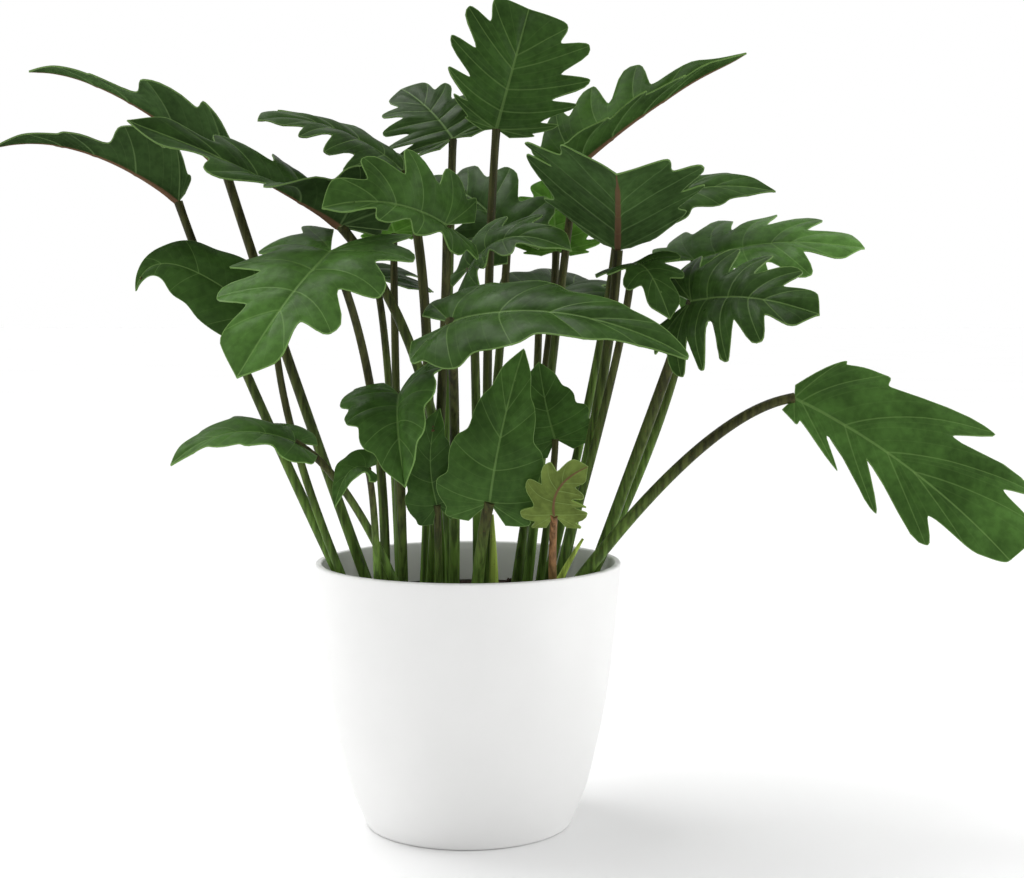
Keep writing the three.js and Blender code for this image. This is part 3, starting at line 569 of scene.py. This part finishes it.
def stalk_finish(name, top, foot):
    """Long streaks along the stalk, from the colour of the foot to that of the upper stretch."""
    finish = Finish(name, 0.12)
    streaks = finish.cloud(finish.place((1, 1, 0.06)), 420.0)
    addends = {0: finish.value("rise"), 1: finish.value("tone")}
    rise = finish.add("ShaderNodeMath", addends, operation="ADD")
    height = finish.remap(rise, 0.05, 0.75, 0.0, 1.0)
    colour = finish.blend(height, finish.colour(foot), finish.colour(top))
    colour = finish.shade(colour, finish.vary(streaks, 0.55, 1.65))
    freckles = finish.remap(finish.cloud(finish.place(), 900.0, 1.0), 0.62, 0.75, 0.0, 0.35)
    colour = finish.blend(freckles, colour, finish.colour("rib_under"))
    return finish.done(colour, finish.vary(streaks, 0.38, 0.55), streaks, 0.00025)


def pot_finish():
    """Smooth white moulded plastic with a satin sheen and the faintest mottling."""
    finish = Finish("white_satin_plastic", 0.4)
    place = finish.place()
    colour = finish.shade(finish.colour("pot"), finish.vary(finish.cloud(place, 18.0), 0.985, 1.01))
    roughness = finish.vary(finish.cloud(place, 60.0), 0.36, 0.44)
    return finish.done(colour, roughness, finish.cloud(place, 1500.0, 1.0), 0.00001)


def soil_finish():
    """Dark potting soil with lighter fibres and damp patches."""
    finish = Finish("dark_potting_soil", 0.2)
    place = finish.place()
    grains = finish.cloud(place, 320.0, 5.0)
    colour = finish.shade(finish.colour("soil"), finish.vary(grains, 0.45, 1.9))
    fibres = finish.remap(finish.cloud(finish.place((1, 0.2, 1)), 600.0), 0.64, 0.72, 0.0, 0.6)
    colour = finish.blend(fibres, colour, linear(FIBRE_COLOUR))
    return finish.done(colour, finish.vary(finish.cloud(place, 40.0), 0.8, 1.0), grains, 0.0012)


def floor_finish():
    """Matt off-white with hardly any mottling."""
    finish = Finish("pale_studio_floor", 0.1)
    tone = finish.vary(finish.cloud(finish.place(), 1.5), 0.99, 1.01)
    return finish.done(finish.shade(FLOOR_COLOUR, tone), 0.8)


def kept(name, make, *details):
    """The material of that name, made the first time it is asked for."""
    return bpy.data.materials.get(name) or make(name, *details)


# Shape of a blade, in millimetres

def spline(points, share, blunt=False):
    """Smooth curve through points, at shares of it from 0 to 1. A blunt one ends straight across."""
    points = np.array(points, float)
    last = len(points) - 1
    first = np.minimum(np.floor(share * last).astype(int), last)
    w = (share * last - first)[:, None]
    before, start, end, after = (points[np.clip(first + step, 0, last)] for step in (-1, 0, 1, 2))
    leave = (end - before) / 2
    arrive = (after - start) / 2
    if blunt:
        arrive[first >= last - 1] *= (0, BLUNT_PUSH)
    cubic = (2 * start - 2 * end + leave + arrive) * w ** 3
    return cubic + (3 * end - 3 * start - 2 * leave - arrive) * w ** 2 + leave * w + start


def bent_line(start, bend, end, share):
    """Points and directions on the line from start to end that bends towards bend."""
    a, b, c = (np.array(p, float) for p in (start, bend, end))
    s = np.asarray(share, float)[..., None]
    points = (1 - s) ** 2 * a + 2 * s * (1 - s) * b + s ** 2 * c
    along = 2 * (1 - s) * (b - a) + 2 * s * (c - b)
    return points, along / np.linalg.norm(along, axis=-1, keepdims=True)


def midrib_frame(leaf, share):
    """Origin, direction along, direction to the left and direction out of the upper side."""
    points, along = bent_line(leaf["junction"], leaf["middle"], leaf["tip"], share)
    s = np.asarray(share, float)[..., None]
    hint = np.array(leaf["face"]) * (1 - s) + np.array(leaf.get("face_tip", leaf["face"])) * s
    up = hint - along * np.sum(hint * along, axis=-1, keepdims=True)
    up /= np.linalg.norm(up, axis=-1, keepdims=True)
    return points, along, np.cross(up, along), up


def midrib_length(leaf):
    points, _ = bent_line(leaf["junction"], leaf["middle"], leaf["tip"], np.linspace(0, 1, 201))
    return np.linalg.norm(np.diff(points, axis=0), axis=1).sum()


def notch_depth(away):
    """From 0 at the pointed end of the lobe beside it to 1 at the notch's rounded bottom."""
    return np.sin(0.5 * math.pi * np.clip(away, 0, 1)) ** LOBE_ROUND


def lobe_share(form, cuts, q):
    """Share of a vein that the notches leave, at places q on the edge from the base (0) to the tip (1)."""
    lean = form["lean"]
    lobes = form["lobes"]
    phase = q * form["whole"]
    lobe = np.clip(np.floor(phase + 1e-9).astype(int), 0, lobes - 1)
    offset = phase - lobe - 0.5 - lean
    rising = np.where(lobe > 0, cuts[lobe - 1] * notch_depth(-offset / (0.5 + lean)), 0)
    falling = cuts[lobe] * notch_depth(offset / (0.5 - lean))
    away = np.clip(1 - (phase - lobes) / TIP_LOBE / TIP_RISE, 0, 1)
    tip = cuts[-1] * 0.5 * (1 - np.cos(math.pi * away))
    return 1 - np.where(phase >= lobes - 1e-9, tip, np.where(offset > 0, falling, rising))


def blade_points(leaf, q, t):
    """Points of the upper side for columns q and rows t, from -1 (right edge) to 1 (left edge)."""
    right = half_blade(leaf, -1, q, -t[t < 0])
    left = half_blade(leaf, 1, q, t[t >= 0])
    return np.concatenate([right, left], axis=1)


def half_blade(leaf, side, q, reach):
    """The half to the left (1) or to the right (-1) of the midrib."""
    form = FORMS[leaf["form"]]
    pick = 0 if side > 0 else 1
    length = midrib_length(leaf)
    half = leaf["half"][pick]
    calm = np.minimum(q / CALM_BASE, 1) ** 2
    foot = (form["feet"] * length * np.maximum(0, (q - VEIN_FAN) / (1 - VEIN_FAN)))[:, None]
    end = spline(form["edges"][pick], q, leaf.get("blunt", False)) * (length, half)
    share = lobe_share(form, form["cuts"][pick], q)[:, None] * reach[None, :]
    bow = form["sweep"] * 4 * share * (1 - reach)[None, :] * (end[:, 1] * calm)[:, None]
    along_flat = foot * (1 - share) + end[:, :1] * share - bow
    out = end[:, 1:] * share
    at = np.clip(along_flat / length, 0, 1)
    origin, along, left, up = midrib_frame(leaf, at)
    fold_tip = leaf.get("fold_tip", leaf["fold"])[pick]
    fold = fold_tip + (leaf["fold"][pick] - fold_tip) * (1 - at) ** 3
    lift = np.radians(fold - leaf["droop"][pick] * 0.5 * out / half)
    phase = q * form["whole"] * math.pi
    ruffle = form["ruffle"] * reach[None, :] ** 2 * (np.sin(phase + side) * calm * (1 - q))[:, None]
    points = origin + along * (along_flat - at * length)[..., None]
    points += left * (side * out * np.cos(lift))[..., None]
    points += up * (out * np.sin(lift) + ruffle)[..., None]
    return points


def blade_columns(form):
    """Places on the edge, closer together at veins and notches, and which are main and fine veins."""
    ease = (1 - np.cos(np.linspace(0, math.pi, VEIN_STEPS + 1))) / 2
    phases = []
    veins = []
    fine = []
    for lobe in range(form["lobes"]):
        vein = lobe + 0.5 + form["lean"]
        start = len(phases)
        phases += list(lobe + (vein - lobe) * ease[:-1]) + list(vein + (lobe + 1 - vein) * ease[:-1])
        veins.append(start + VEIN_STEPS)
        fine += [start + VEIN_STEPS // 2, start + VEIN_STEPS * 3 // 2]
        if lobe:
            fine.append(start)
    start = len(phases)
    tip_steps = form["tip_steps"]
    phases += list(form["lobes"] + TIP_LOBE * np.linspace(0, 1, tip_steps + 1) ** 1.2)
    veins.append(start + tip_steps * 3 // 8)
    fine += [start, start + tip_steps * 5 // 8]
    return np.array(phases) / form["whole"], veins, fine


def distance_to(points, lines):
    """Distance from each point to the nearest of some lines through points."""
    starts = np.concatenate([line[:-1] for line in lines])
    ends = np.concatenate([line[1:] for line in lines])
    span = ends - starts
    square = np.maximum(np.sum(span ** 2, axis=1), 1e-9)
    best = np.empty(len(points))
    for first in range(0, len(points), 500):
        part = points[first:first + 500, None, :] - starts[None]
        share = np.clip(np.sum(part * span, axis=2) / square, 0, 1)
        gap = part - share[..., None] * span
        best[first:first + 500] = np.sqrt(np.min(np.sum(gap ** 2, axis=2), axis=1))
    return best


def near(gap, width):
    """1 on a line, and less the wider the gap to it: a third at the width."""
    return np.exp(-(gap / width) ** 2)


def waves(points, per_metre):
    """Smooth waves between -1 and 1 at the points."""
    return np.array([noise.noise(Vector(p) * per_metre) for p in points])


def add_blade(leaf, name, sizes):
    """A grid bent into the blade, with pleats and grooves, then thickened, most along the midrib."""
    form = FORMS[leaf["form"]]
    q, veins, fine = blade_columns(form)
    t = np.array([-r for r in BLADE_ROWS[:0:-1]] + list(BLADE_ROWS))
    points = blade_points(leaf, q, t)
    columns, rows = len(q), len(t)
    middle = rows // 2
    sides = (slice(middle, None), slice(middle, None, -1))
    flat = points.reshape(-1, 3)
    length = midrib_length(leaf)
    rib_line = midrib_frame(leaf, np.linspace(0, 1, 40))[0]
    to_rib = distance_to(flat, [rib_line])
    to_vein = distance_to(flat, [points[v, side] for v in veins for side in sides])
    to_fine = distance_to(flat, [points[f, side] for f in fine for side in sides])
    rims = [points[:, 0], points[:, -1], points[0, :middle + 1], points[0, middle:]]
    to_edge = distance_to(flat, rims)
    from_base = np.linalg.norm(flat - np.array(leaf["junction"], float), axis=1) / length
    reach = np.tile(np.abs(t), columns)
    size = min(1.0, max(leaf["half"]) / FULL_SIZE)

    bpy.ops.mesh.primitive_grid_add(x_subdivisions=columns - 1, y_subdivisions=rows - 1, size=1)
    blade = new_piece(name)
    mesh = blade.data
    corners = get_points(mesh)
    column = np.rint((corners[:, 0] + 0.5) * (columns - 1)).astype(int)
    row = np.rint((corners[:, 1] + 0.5) * (rows - 1)).astype(int)
    order = column * rows + row
    set_points(mesh, flat[order] * MM)
    layers = {
        "rib": to_rib / (size * (RIB_LINE - RIB_LINE_LOSS * np.minimum(from_base, 1))),
        "vein": to_vein / (size * (VEIN_LINE - FINE_LINE * reach)),
        "fine": to_fine / (size * FINE_LINE),
        "edge": to_edge / size,
        # Partly the leaf's own tone, partly painted light and shade
        "brightness": np.full(len(flat), TONE_AND_PAINTED_LIGHT.get(leaf["name"], 1.0)),
        "rib_gap": to_rib,
        "vein_gap": to_vein,
        "from_base": from_base,
    }
    for layer, values in layers.items():
        set_values(mesh, layer, values[order])
    weld(blade, BLADE_WELD)

    rib_gap = get_values(mesh, "rib_gap")
    vein_gap = get_values(mesh, "vein_gap")
    edge_gap = get_values(mesh, "edge") * size
    along = np.minimum(get_values(mesh, "from_base"), 1)
    inside = 1 - near(rib_gap, PLEAT_FROM_RIB)
    pleats = (1 - near(vein_gap, PLEAT_FROM_VEIN)) * inside * (1 - near(edge_gap, HEM_WIDTH))
    rise = sizes.pleat_height * size * pleats
    groove = near(vein_gap, VEIN_GROOVE_WIDTH) * VEIN_GROOVE + near(rib_gap, RIB_GROOVE_WIDTH)
    rise -= sizes.groove_depth * size * groove * np.minimum(edge_gap / HEM_WIDTH, 1)
    bare = get_points(mesh)
    rise += waves(bare, SWELL_PER_METRE) * SWELL_HEIGHT * inside
    rise += waves(bare, FLUTTER_PER_METRE) * sizes.margin_flutter * near(edge_gap, FLUTTER_WIDTH) * size
    set_points(mesh, bare + read(mesh.vertex_normals, "vector", 3) * rise[:, None])

    deepest = sizes.blade_thickness + sizes.rib_depth
    rib = near(rib_gap, RIB_WIDTH * size) * (1 - RIB_LOSS * along)
    ridge = near(vein_gap, RIDGE_WIDTH * size) * VEIN_RIDGE * (1 - RIDGE_LOSS * along)
    thickness = sizes.blade_thickness + sizes.rib_depth * size * np.maximum(rib, ridge)
    group = blade.vertex_groups.new(name="thickness")
    for index, share in enumerate(thickness / deepest):
        group.add([index], float(share), "REPLACE")
    for spare in ("rib_gap", "vein_gap", "from_base"):
        mesh.attributes.remove(mesh.attributes[spare])

    solid = blade.modifiers.new("Thickness", "SOLIDIFY")
    solid.thickness = deepest
    solid.offset = -1
    solid.vertex_group = "thickness"
    solid.thickness_vertex_group = 0.0
    solid.use_quality_normals = True
    solid.material_offset = 1
    green = leaf.get("tint", leaf["green"])
    for side, underside in (("upper", False), ("under", True)):
        mesh.materials.append(kept(f"leaf_{green}_{side}", leaf_finish, green, underside))
    select_only(blade)
    bpy.ops.object.modifier_apply(modifier=solid.name)
    set_points(mesh, np.clip(get_points(mesh), *np.array(CAD_BOX)))
    blade.vertex_groups.clear()
    smooth(blade, 60)
    return blade


# Stalks

def stalk_end(leaf):
    """Where the stalk's axis ends, just inside the blade."""
    up = midrib_frame(leaf, np.array([0.0]))[3]
    return np.array(leaf["junction"], float) - up[0] * BLADE_THICKNESS / 2


def add_rod(name, stem, end, radii, tone, material):
    """A curve from the stem's root past its knee to the end, made into a closed mesh of those radii."""
    root = (*stem["root"], SOIL_TOP - ROOT_DEPTH)
    a, b, c = (np.array(p, float) * MM for p in (root, stem["knee"], end))
    bpy.ops.curve.primitive_bezier_curve_add(radius=1, enter_editmode=True)
    curve = bpy.context.object
    leave = a + (b - a) * 2 / 3
    arrive = c + (b - c) * 2 / 3
    places = ((a, a * 2 - leave, leave), (c, arrive, c * 2 - arrive))
    for point, (place, before, after) in zip(curve.data.splines[0].bezier_points, places):
        point.handle_left_type = "FREE"
        point.handle_right_type = "FREE"
        point.co = place
        point.handle_left = before
        point.handle_right = after
    bpy.ops.curve.select_all(action="SELECT")
    bpy.ops.curve.subdivide(number_cuts=len(radii) - 2)
    bpy.ops.object.mode_set(mode="OBJECT")
    data = curve.data
    data.dimensions = "3D"
    data.resolution_u = 2
    data.bevel_depth = MM
    data.bevel_resolution = 5
    data.use_fill_caps = True
    for point, radius in zip(data.splines[0].bezier_points, radii):
        point.radius = radius
    select_only(curve)
    bpy.ops.object.convert(target="MESH")
    rod = new_piece(name)
    points = get_points(rod.data) / MM
    shares = np.linspace(0, 1, 81)
    line, _ = bent_line(root, stem["knee"], end, shares)
    nearest = np.argmin(((points[:, None, :] - line[None]) ** 2).sum(axis=2), axis=1)
    set_values(rod.data, "rise", shares[nearest])
    set_values(rod.data, "tone", np.full(len(points), tone))
    rod.data.materials.clear()
    rod.data.materials.append(material)
    weld(rod, ROD_WELD)
    smooth(rod, 50)
    return rod


def add_stalk(leaf, name, number):
    """A stalk from the soil to its blade, a little swollen where it meets the blade."""
    if "tint" in leaf:
        material = kept("young_stalk_skin", stalk_finish, "young_stalk", "young_foot")
    else:
        material = kept("stalk_skin", stalk_finish, "stalk", "stalk_base")
    shares = np.linspace(0, 1, STALK_STEPS)
    first, last = leaf["stalk"]
    radii = first + (last - first) * np.sqrt(shares) + SWELLING * near(1 - shares, SWELLING_SHARE)
    tone = TONE_RANGE * math.sin(number * TONE_STEP)
    return add_rod(name, leaf, stalk_end(leaf), radii, tone, material)


# Operators

class PLANT_OT_make_pot(bpy.types.Operator):
    """Turn the pot's profile about its axis: outside, rounded rim, inside, floor"""

    bl_idname = "plant.make_pot"
    bl_label = "Make Pot"

    def execute(self, context):
        sizes = context.scene.plant_sizes
        pot = spun("pot_shell", pot_profile(sizes), sizes.pot_segments)
        pot.data.materials.append(pot_finish())
        smooth(pot, 40)
        settle(pot, "white_pot", "pot")
        return {"FINISHED"}


def wall_radius(sizes, share):
    """Outer radius of the pot at shares of its height, smooth through its stations."""
    stations = [(0, sizes.pot_base_radius), *((s, r * MM) for s, r in POT_STATIONS), (1, sizes.pot_radius)]
    places = np.array([s for s, _ in stations])
    radii = np.array([r for _, r in stations])
    slopes = np.gradient(radii, places)
    share = np.asarray(share, float)
    index = np.clip(np.searchsorted(places, share, side="right") - 1, 0, len(places) - 2)
    span = places[index + 1] - places[index]
    w = (share - places[index]) / span
    keep = (1 + 2 * w) * (1 - w) ** 2 * radii[index] + w ** 2 * (3 - 2 * w) * radii[index + 1]
    turn = w * (1 - w) ** 2 * slopes[index] - w ** 2 * (1 - w) * slopes[index + 1]
    return keep + turn * span


def arc(centre, radius, start, end):
    """Points on a circle in the profile's plane, angles in degrees."""
    angles = np.radians(np.linspace(start, end, CORNER_STEPS + 1))
    return [(centre[0] + radius * math.cos(a), centre[1] + radius * math.sin(a)) for a in angles]


def pot_profile(sizes):
    """Radii and heights of the corners, from the underside's middle round to the middle of the floor."""
    height = sizes.pot_height
    foot = sizes.foot_round
    rim = sizes.rim_round
    wall = sizes.pot_wall
    top = sizes.pot_radius
    shares = np.linspace(foot / height, 1 - rim / height, OUTSIDE_STEPS)
    outside = [(float(r), float(s * height)) for r, s in zip(wall_radius(sizes, shares), shares)]
    down = np.linspace(1 - rim / height, sizes.pot_floor / height, INSIDE_STEPS)
    inside = [(float(r) - wall, float(s * height)) for r, s in zip(wall_radius(sizes, down), down)]
    first = outside[0][0]
    points = [(0.0, 0.0), (first * 0.5, 0.0)]
    points += arc((first - foot, foot), foot, -90, 0)[:-1]
    points += outside[:-1]
    points += arc((top - rim, height - rim), rim, 0, 90)
    points += arc((top - wall + rim, height - rim), rim, 90, 180)[:-1]
    points += inside
    points += [(inside[-1][0] * 0.5, sizes.pot_floor), (0.0, sizes.pot_floor)]
    return points


def spun(name, profile, segments):
    """A profile drawn by extruding one point, spun into a closed round body."""
    bpy.ops.mesh.primitive_plane_add(size=0.01)
    piece = new_piece(name)
    bpy.ops.object.mode_set(mode="EDIT")
    bpy.ops.mesh.select_all(action="SELECT")
    bpy.ops.mesh.merge(type="CENTER")
    bpy.ops.transform.translate(value=(profile[0][0], 0, profile[0][1]))
    for (r0, z0), (r1, z1) in zip(profile, profile[1:]):
        bpy.ops.mesh.extrude_region_move(TRANSFORM_OT_translate={"value": (r1 - r0, 0, z1 - z0)})
    bpy.ops.mesh.select_all(action="SELECT")
    bpy.ops.mesh.spin(steps=segments, angle=2 * math.pi, center=(0, 0, 0), axis=(0, 0, 1))
    bpy.ops.mesh.select_all(action="SELECT")
    bpy.ops.mesh.remove_doubles(threshold=SPIN_WELD)
    bpy.ops.mesh.normals_make_consistent(inside=False)
    bpy.ops.object.mode_set(mode="OBJECT")
    return piece


class PLANT_OT_make_soil(bpy.types.Operator):
    """Fill the pot with soil, roughen its surface and strew crumbs over it"""

    bl_idname = "plant.make_soil"
    bl_label = "Make Soil"

    def execute(self, context):
        sizes = context.scene.plant_sizes
        top = SOIL_TOP * MM
        gap = sizes.pot_wall + SEAT_GAP * MM
        low = sizes.pot_floor + SEAT_GAP * MM
        heights = np.linspace(low, top, SOIL_WALL_RINGS)
        walls = wall_radius(sizes, heights / sizes.pot_height) - gap
        profile = [(0.0, low), *zip(walls.tolist(), heights.tolist())]
        profile += [(float(walls[-1]) * s, top) for s in np.linspace(SOIL_LAST_RING, 0, SOIL_RINGS)]
        soil = spun("soil_bed", profile, SOIL_SEGMENTS)
        points = get_points(soil.data)
        middle = np.hypot(points[:, 0], points[:, 1])
        surface = (points[:, 2] > top - 0.0001) & (middle < walls[-1] * SOIL_ROUGH)
        for index in np.flatnonzero(surface):
            place = Vector(points[index])
            swell = sum(noise.noise(place * per_metre) * rise for per_metre, rise in SOIL_WAVES)
            grain = abs(noise.noise(place * SOIL_GRAIN[0])) * SOIL_GRAIN[1]
            points[index, 2] += swell + grain - SOIL_SINK
        set_points(soil.data, points)
        join(soil, self.strew(sizes, top, float(walls[-1])))
        soil.data.materials.clear()
        soil.data.materials.append(soil_finish())
        smooth(soil, 60)
        settle(soil, "dark_soil", "potting_soil")
        return {"FINISHED"}

    def strew(self, sizes, top, radius):
        """Lumps of different sizes, each one a copy of a small faceted ball pushed out of round."""
        bpy.ops.mesh.primitive_ico_sphere_add(subdivisions=2, radius=1)
        ball = new_piece("crumb")
        sphere = get_points(ball.data)
        random = np.random.default_rng(CRUMB_SEED)
        crumbs = []
        for number in range(sizes.crumb_count):
            copy = ball.copy()
            copy.data = ball.data.copy()
            bpy.context.collection.objects.link(copy)
            size = sizes.crumb_size * (CRUMB_LEAST + CRUMB_SPREAD * random.random() ** 3)
            angle = random.random() * 2 * math.pi
            away = (radius - CRUMB_MARGIN) * math.sqrt(random.random())
            lumps = 1 + CRUMB_LUMPS * np.sin(sphere @ random.normal(size=3) * 3 + random.random() * 6)
            squash = CRUMB_FLAT + CRUMB_FLAT_SPREAD * random.random(3)
            points = sphere * lumps[:, None] * squash * size
            points += (away * math.cos(angle), away * math.sin(angle), top + size * CRUMB_LIFT)
            set_points(copy.data, points)
            crumbs.append(copy)
        bpy.data.objects.remove(ball)
        return crumbs


class PLANT_OT_make_blades(bpy.types.Operator):
    """Bend, pleat and thicken every leaf blade"""

    bl_idname = "plant.make_blades"
    bl_label = "Make Leaf Blades"

    def execute(self, context):
        for leaf in LEAVES:
            blade = add_blade(leaf, f"blade_{leaf['name']}", context.scene.plant_sizes)
            settle(blade, f"leaf_{leaf['green']}", f"leaf_blade_{leaf['name']}")
        return {"FINISHED"}


class PLANT_OT_make_stalks(bpy.types.Operator):
    """Run every stalk from the soil to its blade"""

    bl_idname = "plant.make_stalks"
    bl_label = "Make Stalks"

    def execute(self, context):
        for number, leaf in enumerate(LEAVES):
            stalk = add_stalk(leaf, f"stalk_{leaf['name']}", number)
            settle(stalk, "stalk_olive", f"leaf_stalk_{leaf['name']}")
        return {"FINISHED"}


class PLANT_OT_make_young_leaves(bpy.types.Operator):
    """Make the small leaves low in the clump, blade and stalk in one piece each"""

    bl_idname = "plant.make_young_leaves"
    bl_label = "Make Young Leaves"

    def execute(self, context):
        for number, leaf in enumerate(YOUNG_LEAVES):
            blade = add_blade(leaf, f"{leaf['name']}_blade", context.scene.plant_sizes)
            stalk = add_stalk(leaf, f"{leaf['name']}_stalk", number + 5)
            join(blade, [stalk])
            settle(blade, f"leaf_{leaf['green']}", leaf["name"])
        return {"FINISHED"}


class PLANT_OT_make_shoots(bpy.types.Operator):
    """Make the rolled new leaf and the pointed sheath beside it"""

    bl_idname = "plant.make_shoots"
    bl_label = "Make Shoots"

    def execute(self, context):
        material = kept("shoot_skin", stalk_finish, "shoot", "stalk_base")
        shares = np.linspace(0, 1, STALK_STEPS)
        for shoot in SHOOTS:
            first, last = shoot["stalk"]
            radii = first + (last - first) * shares ** 2
            rod = add_rod(f"{shoot['name']}_fine", shoot, shoot["junction"], radii, 0.0, material)
            settle(rod, "shoot_green", shoot["name"])
        return {"FINISHED"}


class PLANT_OT_make_stage(bpy.types.Operator):
    """Lay the pale floor, hang the soft lights and set up the camera"""

    bl_idname = "plant.make_stage"
    bl_label = "Make Studio"

    def execute(self, context):
        clear_selection()
        bpy.ops.mesh.primitive_plane_add(size=FLOOR_WIDTH)
        floor = new_piece("studio_floor")
        floor.data.materials.append(floor_finish())
        scene = context.scene
        scene.world = self.room()
        scene.view_settings.view_transform = "Standard"
        turn = [math.radians(angle) for angle in OVERHEAD_TURN]
        overhead = self.lamp("SUN", "overhead_light", OVERHEAD_PLACE, turn, OVERHEAD_POWER)
        overhead.angle = math.radians(OVERHEAD_SOFTNESS)
        for name, place, power in SIDE_LIGHTS:
            turn = (Vector(SIDE_LIGHT_TARGET) - Vector(place)).to_track_quat("-Z", "Y").to_euler()
            self.lamp("AREA", name, place, turn, power).size = SIDE_LIGHT_SIZE
        bpy.ops.object.camera_add(location=CAMERA_PLACE)
        camera = context.object
        camera.name = "photo_view"
        camera.rotation_euler = (math.pi / 2 - CAMERA_TILT, 0, 0)
        camera.data.sensor_width = CAMERA_SENSOR
        camera.data.sensor_fit = "HORIZONTAL"
        camera.data.lens = CAMERA_LENS
        camera.data.dof.use_dof = False
        scene.camera = camera
        return {"FINISHED"}

    def room(self):
        """A white room, which lights the plant from its ceiling more than from its walls."""
        world = bpy.data.worlds.new("white_room")
        world.use_nodes = True
        background = world.node_tree.nodes["Background"]
        nodes = Nodes(world.node_tree)
        direction = nodes.add("ShaderNodeTexCoord", output="Object")
        height = nodes.add("ShaderNodeSeparateXYZ", {"Vector": direction}, "Z")
        given = nodes.remap(height, WALL_TOP, CEILING_EDGE, WALL_LIGHT, CEILING_LIGHT)
        seen = nodes.add("ShaderNodeLightPath", output="Is Camera Ray")
        strength = nodes.add("ShaderNodeMapRange", {"Value": seen, "To Min": given, "To Max": 1.0})
        nodes.fill(background.inputs["Color"], (1, 1, 1, 1))
        nodes.fill(background.inputs["Strength"], strength)
        return world

    def lamp(self, kind, name, place, turn, power):
        bpy.ops.object.light_add(type=kind, location=place)
        lamp = bpy.context.object
        lamp.name = name
        lamp.rotation_euler = turn
        lamp.data.energy = power
        return lamp.data


OPERATORS = (
    PLANT_OT_make_pot,
    PLANT_OT_make_soil,
    PLANT_OT_make_blades,
    PLANT_OT_make_stalks,
    PLANT_OT_make_young_leaves,
    PLANT_OT_make_shoots,
    PLANT_OT_make_stage,
)


class PLANT_PT_panel(bpy.types.Panel):
    """Buttons and settings of the potted plant"""

    bl_idname = "PLANT_PT_panel"
    bl_label = "Potted Plant"
    bl_space_type = "VIEW_3D"
    bl_region_type = "UI"
    bl_category = "Plant"

    def draw(self, context):
        for operator in OPERATORS:
            self.layout.operator(operator.bl_idname)
        for group in (context.scene.plant_sizes, context.scene.plant_colours):
            for name in group.__annotations__:
                self.layout.prop(group, name)


CLASSES = (PlantSizes, PlantColours, *OPERATORS, PLANT_PT_panel)


def register():
    for cls in CLASSES:
        bpy.utils.register_class(cls)
    bpy.types.Scene.plant_sizes = PointerProperty(type=PlantSizes)
    bpy.types.Scene.plant_colours = PointerProperty(type=PlantColours)


def unregister():
    del bpy.types.Scene.plant_colours
    del bpy.types.Scene.plant_sizes
    for cls in reversed(CLASSES):
        bpy.utils.unregister_class(cls)


def main():
    register()
    clear_selection()
    bpy.ops.plant.make_pot()
    bpy.ops.plant.make_soil()
    bpy.ops.plant.make_blades()
    bpy.ops.plant.make_stalks()
    bpy.ops.plant.make_young_leaves()
    bpy.ops.plant.make_shoots()
    bpy.ops.plant.make_stage()
    clear_selection()
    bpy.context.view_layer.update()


if __name__ == "__main__":
    main()
